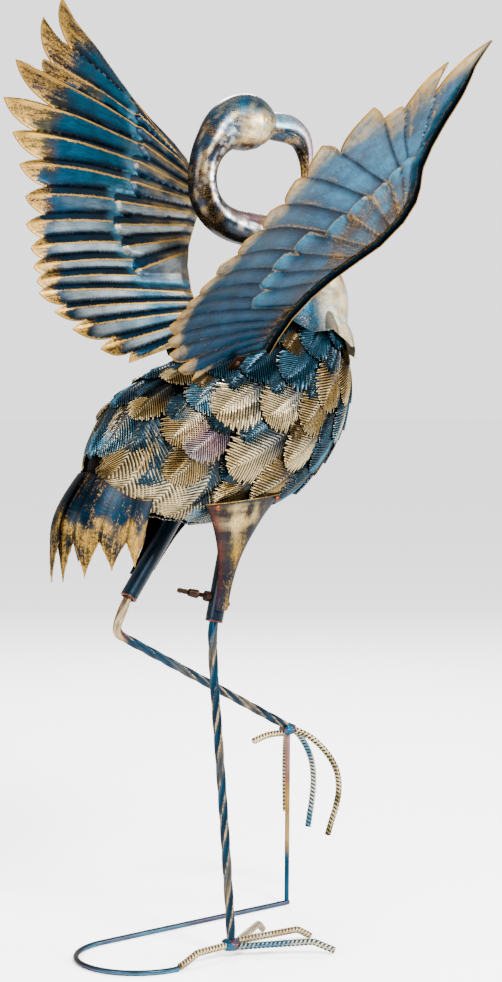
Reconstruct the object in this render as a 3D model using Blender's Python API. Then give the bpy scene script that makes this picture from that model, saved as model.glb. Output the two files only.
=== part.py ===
"""Garden flamingo made of painted sheet steel, twisted rod and bent wire.

The bird faces -Y and stands on its right leg. Its left leg is raised and its
foot rests on a thin rod that rises from the flat wire loop of the base.
The pose is given in thousandths of POSE_HEIGHT, and every wire, sheet and
tube has its own real size in metres.
"""
import math

import bmesh
import bpy
from mathutils import Matrix, Vector, geometry
from mathutils.bvhtree import BVHTree

# Whole figure
HEIGHT = 1.058
POSE_HEIGHT = 1058.0
UNIT = HEIGHT / POSE_HEIGHT
GAP = 0.0003

# Rod, tube and sheet stock
LOOP_RADIUS = 0.0032
SUPPORT_RADIUS = 0.0028
LEG_RADIUS = 0.0052
LEG_STRAND_DEPTH = 0.0008
LEG_STRANDS = 4
LEG_PITCH = 0.125
LEG_STEP = LEG_PITCH / 8.5
TOE_RADIUS = 0.0039
TUBE_OUTER_RADIUS = 0.0095
TUBE_WALL = 0.0028
TUBE_SIDES = 16
HIP_TUBE_GAP = 0.0009
LEG_INSERTION = 0.058
WING_SHEET = 0.0016
LEAF_SHEET = 0.0014
TAIL_SHEET = 0.0014
THIGH_SHEET = 0.0016
NECK_SHEET = 0.0020
SCREW_RADIUS = 0.0025
NUT_RADIUS = 0.0058
NUT_LENGTH = 0.0065
SCREW_LENGTH = 0.026
BRACKET_WIDTH = 0.018
BRACKET_SHEET = 0.0020
BRACKET_LAP = 0.012
BRACKET_REACH = 0.040
BRACKET_RUNGS = 30
BRACKET_MARGIN = 0.002
BRACKET_FIT = 0.0008

# Base loop: two arms along Y joined by a half circle at the back, lying on a flat of the wire
LOOP_HALF_WIDTH = 67.5
LOOP_BEND_Y = 79.5
LOOP_FRONT_Y = -196.0
LOOP_ARC_PIECES = 12
LOOP_FIRST_ANGLE = math.pi / 8

# Feet: weld lumps, toe directions in degrees from straight ahead to the bird's right
WELD_SIZE = (0.0112, 0.0112, 0.0078)
STANDING_FOOT = (-58.0, 0.0, 12.5)
RAISED_FOOT = (75.8, -202.0, 207.5)
TOE_BEND_HEIGHT = 14.0
TOE_TIP_HEIGHT = 4.1
STANDING_TOES = {
    "standing_toe_outer": (37.0, 89.0, 112.0, -3.0),
    "standing_toe_middle": (3.0, 92.0, 110.0, 3.2),
    "standing_toe_inner": (-29.0, 87.0, 101.0, -3.0),
}
RAISED_TOES = {
    "raised_toe_outer": (45.0, 60.5, 126.0),
    "raised_toe_middle": (3.0, 39.5, 121.0),
    "raised_toe_inner": (-52.0, 48.0, 106.0),
}

# Hip tubes: lower end, upper end
RIGHT_TUBE = ((-38.0, 7.0, 359.0), (-38.0, -22.0, 480.0))
LEFT_TUBE = ((45.0, 59.0, 382.0), (43.0, -13.0, 480.0))

# Body: distance along its leaning axis, top, bottom and half width
BODY_CENTRE = (0.0, -40.0, 565.0)
BODY_LEAN = math.radians(20.0)
BODY_STATIONS = (
    (-181.0, 66.0, 32.0, 10.0),
    (-173.0, 80.0, 6.0, 30.0),
    (-155.0, 92.0, -29.0, 51.0),
    (-129.0, 97.0, -57.0, 64.0),
    (-98.0, 95.0, -77.0, 73.0),
    (-53.0, 90.0, -92.0, 79.0),
    (-10.0, 87.0, -93.0, 81.0),
    (30.0, 85.0, -87.0, 79.0),
    (66.0, 84.0, -78.0, 74.0),
    (120.0, 74.0, -51.0, 60.0),
    (150.0, 55.0, -29.0, 43.0),
    (175.0, 35.0, -8.0, 22.0),
    (185.0, 24.0, 3.0, 10.0),
)
BODY_SIDES = 24
BODY_RINGS = 13
BELLY_HEIGHT = 472.0

# Leaf feathers: tip station, leaf count, lower end of the row in degrees
LEAF_LENGTH = 80.0
LEAF_ROWS = (
    (170.0, 6, 232.0),
    (128.0, 8, 221.0),
    (84.0, 8, 212.0),
    (40.0, 8, 212.0),
    (-4.0, 8, 216.0),
    (-48.0, 8, 232.0),
    (-92.0, 8, 238.0),
    (-134.0, 7, 246.0),
)
LEAF_COLUMNS = 3
LEAF_BANDS = (0.0, 0.3, 0.62, 1.0)
LEAF_LIFT = (0.0014, 0.0086)
LEAF_RIDGE = 0.0018
LEAF_FRONT_LIMIT = -158.0
LEAF_SHOULDER = 0.34
LEAF_POINT = 2.2

# Neck, head and chest: centre y, z, reach front to back, half width
NECK_RINGS = (
    (-104.0, 893.0, 9.0, 9.0),
    (-100.0, 895.0, 18.0, 16.0),
    (-90.0, 899.0, 27.0, 23.0),
    (-74.0, 902.0, 31.5, 27.0),
    (-58.0, 900.0, 30.5, 26.0),
    (-41.0, 893.0, 26.0, 23.0),
    (-25.0, 878.0, 20.5, 19.5),
    (-14.0, 860.0, 17.5, 17.0),
    (-9.0, 838.0, 16.5, 16.0),
    (-13.0, 816.0, 17.0, 16.5),
    (-27.0, 799.0, 17.5, 17.0),
    (-48.0, 789.0, 18.5, 18.0),
    (-76.0, 785.0, 19.5, 19.0),
    (-104.0, 780.0, 23.0, 21.5),
    (-131.0, 768.0, 31.0, 27.0),
    (-149.0, 745.0, 43.0, 36.0),
    (-155.0, 717.0, 57.0, 49.0),
    (-145.0, 692.0, 69.5, 61.5),
    (-139.0, 669.0, 79.0, 72.0),
)
NECK_SIDES = 16
HEAD_RINGS = 7
HOLLOW_FROM_RING = 14
CROWN = (0.0, -107.0, 892.5)
CHEST_JAGS = 8
CHEST_JAG_DEPTH = 13.0

# Bill: centre y, z, half height, half width
BILL_SIDES = 10
BILL_RINGS = (
    (-96.0, 901.0, 14.0, 10.0),
    (-112.0, 901.0, 15.5, 11.0),
    (-134.0, 900.0, 16.5, 10.5),
    (-150.0, 893.0, 15.0, 9.5),
    (-158.0, 880.0, 12.5, 8.0),
    (-160.5, 864.0, 8.5, 6.0),
    (-158.5, 849.0, 4.5, 4.0),
    (-155.5, 838.0, 1.6, 1.8),
)

# Wings: the mirrored pair leans on the body, turned about PAIR_PIVOT
WING_CENTRE = (163.8, 115.4, 787.4)
WING_LEAN = math.radians(35.1)
WING_SWEEP = math.radians(3.35)
PAIR_PIVOT = (0.0, 0.0, 560.0)
PAIR_ROLL = math.radians(11.5)
PAIR_YAW = math.radians(6.2)
WING_TIPS = (
    (262, -115), (231, -77), (175, -58), (170, -18), (120, 15), (77, 17),
    (38, 21), (-1, 26), (-34, 36), (-63, 39), (-85, 43), (-102, 44),
    (-116, 46), (-137, 33), (-157, 16), (-180, -14), (-197, -48),
)
WING_NOTCHES = (
    (190, -99), (170, -67), (155, -51), (104, -39), (76, -8), (41, -5),
    (8, 1), (-25, 13), (-52, 24), (-76, 31), (-94, 36), (-110, 39),
    (-131, 20), (-149, -1), (-169, -33), (-186, -52),
)
TRAILING_BULGE = 0.13
LEADING_BULGE = 0.06
WING_ROOTS = (
    (96, -178), (86, -178), (78, -177), (66, -176), (50, -174), (30, -168),
    (6, -158), (-18, -150), (-42, -142), (-64, -138), (-84, -136), (-104, -136),
    (-122, -137), (-134, -139), (-146, -141), (-157, -144), (-167, -147),
)
WING_FRONT_EDGE = (
    (262, -115), (230, -121), (198, -135), (159, -148), (126, -161), (97, -177),
    (70, -199), (50, -211), (22, -216), (-12, -208), (-41, -186), (-62, -171),
    (-88, -159), (-118, -153), (-148, -155), (-173, -160),
)
COVERT_TIPS = (
    (119, -163), (103, -152), (86, -146), (64, -141), (41, -123),
    (12, -110), (-14, -78), (-43, -67), (-70, -69), (-98, -77),
)
COVERT_SPREAD = 0.42
COVERT_SHOULDER = (0.55, 0.80)
COVERT_NOTCH = 1.5
COVERT_RIDGE = 0.8
COVERT_LIFT = 3.4
WING_RIDGE = 3.2
RIDGE_STEP = 55.0
SHORTEST_GROOVE = 14.0
CLEAR_OF_COVERTS = 4.5
COVERT_SPAN = (0.30, 0.43, 0.80, 0.86)
COVERT_ROOT_INSET = 12.0
WING_CAMBER = 18.0
CAMBER_REACH = 95.0
OUTER_CAMBER = 0.35
OUTER_SPAN = (90.0, 220.0)
BRACKET_PLACE = (-181.0, -110.0)
FLANGE_DEPTH = 7.0
FLANGE_SPREAD = 1.5
FLANGE_TAPER = 3

# Tail skirt: pointed sheet feathers around the back of the body
TAIL_CENTRE = (0.0, 99.0)
TAIL_RADII = (40.0, 47.5)
TAIL_TOP = 521.8
TAIL_DROP = 113.0
TAIL_NOTCH = 70.0
TAIL_FLARE = 34.0
TAIL_FEATHER_ANGLE = 27.0
TAIL_SHEET_STEP = 5.6
TAIL_SLOPE = 30.0
TAIL_BANDS = (0.0, 0.3, 0.65, 1.0)
TAIL_SIDE_CUT = 0.40
TAIL_SIDE_SWEEP = 0.55
TAIL_FLARE_DROP = 62.0
TAIL_SPREAD = 0.2
TAIL_RIDGE = 2.4
TAIL_FEATHERS = 4
TAIL_COLUMNS = 4
TAIL_SHEETS = {
    "tail_sheet_right": (-102.0, 0.0),
    "tail_sheet_left": (-6.0, TAIL_SHEET_STEP),
}

# Thigh covers: half cones that hide the tubes
THIGH_TOP = 492.0
THIGH_BOTTOMS = {"right": 377.0, "left": 411.0}
THIGH_TOP_REACH = 58.0
THIGH_TOP_BULGE = 18.0
THIGH_TOP_X = 54.5
THIGH_TOP_BACK = 5.0
THIGH_TURN = math.radians(8.0)
THIGH_RIM_RISE = 4.0
THIGH_NARROWING = 2.5
THIGH_TIP_REAR_LIMIT = 45.0
THIGH_TIP_LENGTH = 6.0
THIGH_FIT = 0.0013
THIGH_STEPS = 5
THIGH_COLUMNS = 6

# Shape of a hanging toe: shares of its reach and of its drop
HANGING_TOE = (
    (0.44, 0.075), (0.75, 0.215), (0.94, 0.37), (1.0, 0.54),
    (0.95, 0.715), (0.85, 0.88), (0.78, 1.0),
)
RAISED_BACK_TOE = ((32.0, 0.0), (54.0, 5.0))
STANDING_BACK_TOE = ((-61.0, 49.0, 12.5), (-65.0, 68.0, 6.6), (-67.5, 78.3, 4.6))

# Legs: how they run from the weld to the tube
STANDING_LEG = (
    (-56.5, 0.5, 48.0), (-50.0, 2.0, 135.0), (-43.2, 4.4, 226.0),
    (-39.3, 7.0, 290.0), (-38.0, 8.4, 332.0),
)
KNEE = (46.0, 77.0, 346.0)
KNEE_BEND_RADIUS = 0.013
TUBE_MOUTH_RUN = 0.004
TOE_BEND_RADIUS = 0.016
TOE_SIDES = 6
TOE_STEP = 0.017
WELD_INSIDE = WELD_SIZE[0] * 0.75
ANKLE_RISE = 0.0028

# Screws
HANDLE_LENGTH = 0.013
HANDLE_SIZE = (0.0030, 0.0062)
SCREW_SIDES = 10
SCREW_BELOW_RIM = 5.5
SCREW_HEAD_LENGTH = 0.0110
SCREW_SHOULDER = 0.0013
SCREW_HEAD_RADIUS = 0.0048
HEAD_RADIUS = 0.0034
HEAD_DEPTH = 0.0024
HEAD_PLACES = {"front": -0.8, "rear": 0.8}

# Thumb screws: tube, direction, height
THUMB_SCREWS = {
    "right": (RIGHT_TUBE, (0.25, 1.0, 0.0), 384.0),
    "left": (LEFT_TUBE, (0.756, -0.653, 0.0), 393.0),
}


def at(x, y, z):
    """Return a point of the pose in metres."""
    return Vector((x, y, z)) * UNIT


def blend(low, high, share):
    """Return the value that lies share of the way from low to high."""
    return low + (high - low) * share


def smooth_value(knots, column, x):
    """Read a column of knots at x, along a smooth curve through the knots."""
    count = len(knots)
    if x <= knots[0][0]:
        return knots[0][column]
    if x >= knots[-1][0]:
        return knots[-1][column]
    i = max(k for k in range(count - 1) if knots[k][0] <= x)

    def slope(k):
        before = max(k - 1, 0)
        after = min(k + 1, count - 1)
        rise = knots[after][column] - knots[before][column]
        return rise / (knots[after][0] - knots[before][0])

    width = knots[i + 1][0] - knots[i][0]
    t = (x - knots[i][0]) / width
    start = knots[i][column]
    end = knots[i + 1][column]
    cubic = (2 * t**3 - 3 * t**2 + 1) * start + (3 * t**2 - 2 * t**3) * end
    return cubic + width * ((t**3 - 2 * t**2 + t) * slope(i) + (t**3 - t**2) * slope(i + 1))


def smooth_path(points, step):
    """Return points about step apart on a Catmull-Rom curve through the given points."""
    path = [points[0]]
    last = len(points) - 1
    for i in range(last):
        before = points[max(i - 1, 0)]
        start = points[i]
        end = points[i + 1]
        after = points[min(i + 2, last)]
        pieces = max(1, round((end - start).length / step))
        for k in range(1, pieces + 1):
            t = k / pieces
            tangent_in = (end - before) * 0.5
            tangent_out = (after - start) * 0.5
            point = start * (2 * t**3 - 3 * t**2 + 1) + end * (3 * t**2 - 2 * t**3)
            point += tangent_in * (t**3 - 2 * t**2 + t) + tangent_out * (t**3 - t**2)
            path.append(point)
    return path


def bent_path(points, bend_radius, arc_pieces=4):
    """Return the points of a straight-run rod whose corners are bent on a radius."""
    path = [points[0]]
    for before, corner, after in zip(points, points[1:], points[2:]):
        inward = (before - corner).normalized()
        outward = (after - corner).normalized()
        turn = math.pi - inward.angle(outward)
        reach = bend_radius * math.tan(turn / 2)
        start = corner + inward * reach
        end = corner + outward * reach
        for k in range(arc_pieces + 1):
            t = k / arc_pieces
            path.append(start * (1 - t)**2 + corner * (2 * t * (1 - t)) + end * t**2)
    path.append(points[-1])
    return path


def painted(name, colour, roughness=0.45, metallic=0.8):
    """Return a plain painted-steel material."""
    material = bpy.data.materials.new(name)
    material.use_nodes = True
    shader = material.node_tree.nodes["Principled BSDF"]
    shader.inputs["Base Color"].default_value = (*colour, 1.0)
    shader.inputs["Roughness"].default_value = roughness
    shader.inputs["Metallic"].default_value = metallic
    return material


def add_object(name, mesh_data, material):
    """Make a named object from a bmesh and free the bmesh."""
    mesh = bpy.data.meshes.new(name)
    mesh_data.to_mesh(mesh)
    mesh_data.free()
    mesh.materials.append(material)
    item = bpy.data.objects.new(name, mesh)
    bpy.context.scene.collection.objects.link(item)
    mesh.shade_smooth()
    mesh.set_sharp_from_angle(angle=math.radians(35))
    return item


def close_rings(rings, start_point=None, end_point=None):
    """Return a bmesh skin over rings of points, closed by a fan at each end."""
    skin = bmesh.new()
    rows = [[skin.verts.new(point) for point in ring] for ring in rings]
    sides = len(rows[0])
    for row, following in zip(rows, rows[1:]):
        for k in range(sides):
            n = (k + 1) % sides
            skin.faces.new((row[k], row[n], following[n], following[k]))
    for row, tip, first in ((rows[0], start_point, True), (rows[-1], end_point, False)):
        if tip is None:
            tip = sum((vert.co for vert in row), Vector()) / sides
        hub = skin.verts.new(tip)
        for k in range(sides):
            n = (k + 1) % sides
            corners = (row[n], row[k], hub) if first else (row[k], row[n], hub)
            skin.faces.new(corners)
    bmesh.ops.recalc_face_normals(skin, faces=skin.faces)
    return skin


def frames_along(path):
    """Return tangent, side and up directions that don't twist along a path."""
    frames = []
    side = None
    for i in range(len(path)):
        ahead = path[min(i + 1, len(path) - 1)]
        behind = path[max(i - 1, 0)]
        tangent = (ahead - behind).normalized()
        if side is None:
            hint = Vector((1, 0, 0)) if abs(tangent.x) < 0.8 else Vector((0, 1, 0))
            side = (hint - tangent * hint.dot(tangent)).normalized()
        else:
            side = (side - tangent * side.dot(tangent)).normalized()
        frames.append((tangent, side, tangent.cross(side)))
    return frames


def rod(name, path, radius, material, sides=8, twist_pitch=None, strands=4, first_angle=0.0):
    """Make a round rod along a path, or a twisted bundle of strands where it has a pitch."""
    rings = []
    travelled = 0.0
    for i, (point, frame) in enumerate(zip(path, frames_along(path))):
        if i:
            travelled += (point - path[i - 1]).length
        turn = first_angle
        if twist_pitch:
            turn += 2 * math.pi * travelled / twist_pitch
        ring = []
        for k in range(sides):
            angle = 2 * math.pi * k / sides
            reach = radius
            if twist_pitch:
                reach -= LEG_STRAND_DEPTH * 0.5 * (1 - math.cos(strands * angle))
            offset = frame[1] * math.cos(angle + turn) + frame[2] * math.sin(angle + turn)
            ring.append(point + offset * reach)
        rings.append(ring)
    return add_object(name, close_rings(rings), material)


def grid_sheet(name, points, thickness, material, offset=0.0):
    """Make a sheet from a grid of points and give it thickness with Solidify."""
    sheet = bmesh.new()
    rows = [[sheet.verts.new(point) for point in row] for row in points]
    for row, following in zip(rows, rows[1:]):
        for k in range(len(row) - 1):
            sheet.faces.new((row[k], row[k + 1], following[k + 1], following[k]))
    item = add_object(name, sheet, material)
    add_thickness(item, thickness, offset)
    return item


def add_thickness(item, thickness, offset):
    """Give a sheet its wall."""
    solidify = item.modifiers.new("Thickness", "SOLIDIFY")
    solidify.thickness = thickness
    solidify.offset = offset
    solidify.use_even_offset = False


def cut_away(item, cutter):
    """Take the cutter's shape out of an item and keep the cutter as a guide."""
    cutter.hide_render = True
    cutter.display_type = "WIRE"
    boolean = item.modifiers.new("Clearance", "BOOLEAN")
    boolean.operation = "DIFFERENCE"
    boolean.solver = "EXACT"
    boolean.object = cutter


def solid_tree(item):
    """Return a search tree over an item's finished surface."""
    depsgraph = bpy.context.evaluated_depsgraph_get()
    return BVHTree.FromObject(item, depsgraph)


def first_hit(trees, point, direction):
    """Return the distance from a point to the nearest surface in a direction."""
    hits = [tree.ray_cast(point, direction)[3] for tree in trees]
    return min([hit for hit in hits if hit is not None], default=math.inf)


def body_axis_directions():
    """Return the body's rearward and upward directions in the sagittal plane."""
    back = Vector((0, math.cos(BODY_LEAN), -math.sin(BODY_LEAN)))
    up = Vector((0, math.sin(BODY_LEAN), math.cos(BODY_LEAN)))
    return back, up


def on_body(station, degrees, lift=0.0):
    """Return a point lifted off the body's skin. 0 degrees is left, 90 top and 180 right."""
    back, up = body_axis_directions()
    top = smooth_value(BODY_STATIONS, 1, station)
    bottom = smooth_value(BODY_STATIONS, 2, station)
    half_width = smooth_value(BODY_STATIONS, 3, station)
    angle = math.radians(degrees)
    middle = (top + bottom) / 2
    half_height = (top - bottom) / 2
    point = at(*BODY_CENTRE) + back * station * UNIT + up * middle * UNIT
    point += Vector((1, 0, 0)) * math.cos(angle) * (half_width * UNIT + lift)
    point += up * math.sin(angle) * (half_height * UNIT + lift)
    return point


def build_body(material):
    """Make the closed egg-shaped shell, flat under the belly."""
    rings = []
    floor = BELLY_HEIGHT * UNIT
    first = BODY_STATIONS[0][0]
    last = BODY_STATIONS[-1][0]
    for i in range(BODY_RINGS + 1):
        station = blend(first, last, 0.5 - 0.5 * math.cos(math.pi * i / BODY_RINGS))
        ring = [on_body(station, 360.0 * k / BODY_SIDES) for k in range(BODY_SIDES)]
        for point in ring:
            point.z = max(point.z, floor)
        rings.append(ring)
    return add_object("body_shell", close_rings(rings), material)


def leaf_edge(across):
    """Return how far a leaf reaches at a place across it, from -1 to 1, as a share."""
    return 1.0 - LEAF_SHOULDER * abs(across)**LEAF_POINT


def build_leaf_rows(material):
    """Make each row of leaf feathers as one overlapping collar that opens under the belly."""
    rows = []
    for number, (tip_station, count, lower_end) in enumerate(LEAF_ROWS, start=1):
        base_station = max(tip_station - LEAF_LENGTH, LEAF_FRONT_LIMIT)
        columns = count * LEAF_COLUMNS
        first = 180.0 - lower_end
        span = lower_end - first
        grid = []
        for share in LEAF_BANDS:
            line = []
            for column in range(columns + 1):
                across = 2.0 * (column % LEAF_COLUMNS) / LEAF_COLUMNS - 1.0
                reach = share * leaf_edge(across)
                station = blend(base_station, tip_station, reach)
                length_share = 1 - (tip_station - station) / LEAF_LENGTH
                ridge = LEAF_RIDGE * (1 - abs(across)) * share
                lift = blend(*LEAF_LIFT, length_share) + ridge
                line.append(on_body(station, first + span * column / columns, lift))
            grid.append(line)
        rows.append(grid_sheet(f"leaf_feathers_row_{number}", grid, LEAF_SHEET, material, 0.0))
    return rows


def neck_ring_points(rings, shrink=0.0):
    """Return the rings of the neck, with each wall moved in by shrink."""
    centres = [at(0, y, z) for y, z, *_ in rings]
    result = []
    for i, (y, z, reach, half_width) in enumerate(rings):
        ahead = centres[min(i + 1, len(rings) - 1)]
        behind = centres[max(i - 1, 0)]
        tangent = (ahead - behind).normalized()
        outer = tangent.cross(Vector((1, 0, 0)))
        ring = []
        for k in range(NECK_SIDES):
            angle = 2 * math.pi * k / NECK_SIDES
            side_reach = math.cos(angle) * (half_width * UNIT - shrink)
            outer_reach = math.sin(angle) * (reach * UNIT - shrink)
            ring.append(centres[i] + Vector((1, 0, 0)) * side_reach + outer * outer_reach)
        result.append(ring)
    return result


def build_neck(material):
    """Make the head, neck and chest as one shell, hollow from the chest up."""
    outer = neck_ring_points(NECK_RINGS)
    inner = neck_ring_points(NECK_RINGS, NECK_SHEET)[HOLLOW_FROM_RING:]
    slope = (outer[-1][0] - outer[-2][0]).normalized()
    for ring in (outer[-1], inner[-1]):
        for k, point in enumerate(ring):
            tooth = 0.5 - 0.5 * math.cos(2 * math.pi * CHEST_JAGS * k / NECK_SIDES)
            point += slope * CHEST_JAG_DEPTH * UNIT * (tooth - 0.5)
    rings = outer + inner[::-1]
    return add_object("neck_head_chest", close_rings(rings, start_point=at(*CROWN)), material)


def build_bill(material):
    """Make the bent bill, cut to the head that it is welded to."""
    centres = [at(0, y, z) for y, z, *_ in BILL_RINGS]
    rings = []
    for i, (y, z, half_height, half_width) in enumerate(BILL_RINGS):
        ahead = centres[min(i + 1, len(BILL_RINGS) - 1)]
        behind = centres[max(i - 1, 0)]
        tangent = (ahead - behind).normalized()
        upward = tangent.cross(Vector((1, 0, 0)))
        ring = []
        for k in range(BILL_SIDES):
            angle = 2 * math.pi * k / BILL_SIDES
            side_reach = math.cos(angle) * half_width * UNIT
            ring.append(centres[i] + Vector((1, 0, 0)) * side_reach
                        + upward * math.sin(angle) * half_height * UNIT)
        rings.append(ring)
    bill = add_object("bill", close_rings(rings), material)
    head_rings = neck_ring_points(NECK_RINGS[:HEAD_RINGS], -GAP)
    front = at(*CROWN) + Vector((0, -GAP, 0))
    clearance = add_object("head_clearance", close_rings(head_rings, start_point=front), material)
    cut_away(bill, clearance)
    return bill


def wing_place(u, v, w, side):
    """Return the place of a point of a wing. u runs out, v back and w to the underside."""
    out = Vector((math.sin(WING_LEAN), 0, math.cos(WING_LEAN)))
    under = Vector((math.cos(WING_LEAN), 0, -math.sin(WING_LEAN)))
    back = Vector((0, math.cos(WING_SWEEP), 0)) + under * math.sin(WING_SWEEP)
    under = under * math.cos(WING_SWEEP) - Vector((0, math.sin(WING_SWEEP), 0))
    point = Vector(WING_CENTRE) + out * u + back * v + under * w
    point.x *= side
    turn = Matrix.Rotation(PAIR_YAW, 3, "Z") @ Matrix.Rotation(-PAIR_ROLL, 3, "Y")
    pivot = Vector(PAIR_PIVOT)
    return (turn @ (point - pivot) + pivot) * UNIT


def inside_outline(point, outline):
    """Tell whether a flat point is inside a closed outline."""
    inside = False
    for a, b in zip(outline, outline[1:] + outline[:1]):
        if (a.y > point.y) != (b.y > point.y):
            crossing = a.x + (b.x - a.x) * (point.y - a.y) / (b.y - a.y)
            if point.x < crossing:
                inside = not inside
    return inside


def distance_to_lines(point, lines):
    """Return the distance from a flat point to the nearest of some segments."""
    nearest = 1e9
    for a, b in lines:
        along = b - a
        t = max(0.0, min(1.0, (point - a).dot(along) / along.length_squared))
        nearest = min(nearest, (point - a - along * t).length)
    return nearest


class WingPattern:
    """The flat pattern of a wing: outline, feather ridges, grooves and coverts."""

    def __init__(self):
        self.points = []
        self.heights = []
        self.lines = []
        self.tips = [Vector(tip) for tip in WING_TIPS]
        self.roots = [Vector(root) for root in WING_ROOTS]
        self.notches = [Vector(notch) for notch in WING_NOTCHES]
        self.front = [Vector(point) for point in WING_FRONT_EDGE]
        self.outline = self.feather_outline() + self.front[:0:-1]
        self.coverts = self.covert_outline()
        self.trailing = list(zip(self.tips, self.tips[1:]))

    def feather_outline(self):
        """Return the scalloped edge from the first tip to the last."""
        edge = [self.tips[0]]
        for i, notch in enumerate(self.notches):
            edge += self.feather_side(i, notch, TRAILING_BULGE, (0.15, 0.45, 0.78))
            edge.append(notch)
            edge += self.feather_side(i + 1, notch, LEADING_BULGE, (0.6, 0.2))
            edge.append(self.tips[i + 1])
        return edge

    def feather_side(self, i, notch, bulge, shares):
        """Return points of the bowed side of a feather, at shares of the way to the notch."""
        tip = self.tips[i]
        chord = notch - tip
        outward = Vector((-chord.y, chord.x))
        if outward.dot(self.roots[i] - tip) > 0:
            outward.negate()
        return [tip + chord * share + outward * bulge * 4 * share * (1 - share) for share in shares]

    def covert_outline(self):
        """Return the scalloped inner edge of the coverts, closed along the front edge."""
        tips = [Vector(tip) for tip in COVERT_TIPS]
        edge = [self.along_front(COVERT_SPAN[0])]
        for i, tip in enumerate(tips):
            root = self.covert_root(i)
            axis = (root - tip).normalized()
            side = Vector((-axis.y, axis.x))
            neighbours = tips[max(i - 1, 0):i] + tips[i + 1:i + 2]
            gap = min((other - tip).length for other in neighbours)
            width = gap * COVERT_SPREAD
            if side.dot(tips[min(i + 1, len(tips) - 1)] - tips[max(i - 1, 0)]) < 0:
                side.negate()
            shoulder = tip + axis * width * COVERT_SHOULDER[0]
            edge.append(shoulder - side * width * COVERT_SHOULDER[1])
            edge.append(tip)
            edge.append(shoulder + side * width * COVERT_SHOULDER[1])
            if i < len(tips) - 1:
                edge.append((tip + tips[i + 1]) / 2 + axis * width * COVERT_NOTCH)
        edge.append(self.along_front(COVERT_SPAN[3]))
        return edge

    def along_front(self, share, inset=7.0):
        """Return a point a little inside the front edge, at a share of its length."""
        spans = [(b - a).length for a, b in zip(self.front, self.front[1:])]
        target = share * sum(spans)
        for (a, b), span in zip(zip(self.front, self.front[1:]), spans):
            if target <= span:
                break
            target -= span
        direction = (b - a).normalized()
        inward = Vector((-direction.y, direction.x))
        if inward.dot(Vector((0, 1))) < 0:
            inward.negate()
        return a + direction * target + inward * inset

    def covert_root(self, i):
        """Return where a covert's ridge starts at the front edge."""
        share = i / (len(COVERT_TIPS) - 1)
        return self.along_front(blend(COVERT_SPAN[1], COVERT_SPAN[2], share), COVERT_ROOT_INSET)

    def camber(self, point):
        """Return how far the sheet bows to the upper side at a flat point."""
        inset = min(1.0, distance_to_lines(point, self.trailing) / CAMBER_REACH)
        outer_share = (point.x - OUTER_SPAN[0]) / (OUTER_SPAN[1] - OUTER_SPAN[0])
        slack = blend(1.0, OUTER_CAMBER, max(0.0, min(1.0, outer_share)))
        return WING_CAMBER * slack * math.sin(inset * math.pi / 2)

    def add_point(self, point, relief):
        """Add a point with its height above the bowed sheet and return its number."""
        self.points.append(point)
        self.heights.append(relief)
        return len(self.points) - 1

    def add_line(self, points, reliefs, closed=False):
        """Add a chain of points and the lines that join them."""
        numbers = [self.add_point(point, relief) for point, relief in zip(points, reliefs)]
        self.lines += list(zip(numbers, numbers[1:]))
        if closed:
            self.lines.append((numbers[-1], numbers[0]))
        return numbers

    def run_to_coverts(self, start, end):
        """Shorten a line so that it stops just short of the coverts."""
        steps = 40
        closed_coverts = self.coverts + self.front[5:14][::-1]
        for k in range(steps + 1):
            point = start.lerp(end, k / steps)
            clear = distance_to_lines(point, list(zip(self.coverts, self.coverts[1:]))) > CLEAR_OF_COVERTS
            if inside_outline(point, closed_coverts) or not clear:
                return start.lerp(end, max(k - 1, 0) / steps)
        return end

    def draw(self):
        """Lay out every line of the pattern."""
        self.add_line(self.outline, [0.0] * len(self.outline), closed=True)
        for tip, root in zip(self.tips, self.roots):
            end = self.run_to_coverts(tip, root)
            axis = end - tip
            pieces = max(2, round(axis.length / RIDGE_STEP))
            chain = [tip + axis * blend(0.10, 1.0, k / pieces) for k in range(pieces + 1)]
            self.add_line(chain, [WING_RIDGE * min(1.0, 0.5 + k) for k in range(pieces + 1)])
        for i, notch in enumerate(self.notches):
            end = self.run_to_coverts(notch, (self.roots[i] + self.roots[i + 1]) / 2)
            if (end - notch).length > SHORTEST_GROOVE:
                pieces = max(1, round((end - notch).length / RIDGE_STEP))
                chain = [notch.lerp(end, blend(0.12, 1.0, k / pieces)) for k in range(pieces + 1)]
                self.add_line(chain, [0.0] * (pieces + 1))
        self.add_line(self.coverts, [COVERT_LIFT] * len(self.coverts))
        for i, tip in enumerate(COVERT_TIPS):
            root = self.covert_root(i)
            chain = [Vector(tip).lerp(root, share) for share in (0.18, 0.6, 1.0)]
            self.add_line(chain, [COVERT_LIFT + WING_RIDGE * COVERT_RIDGE] * len(chain))


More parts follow.
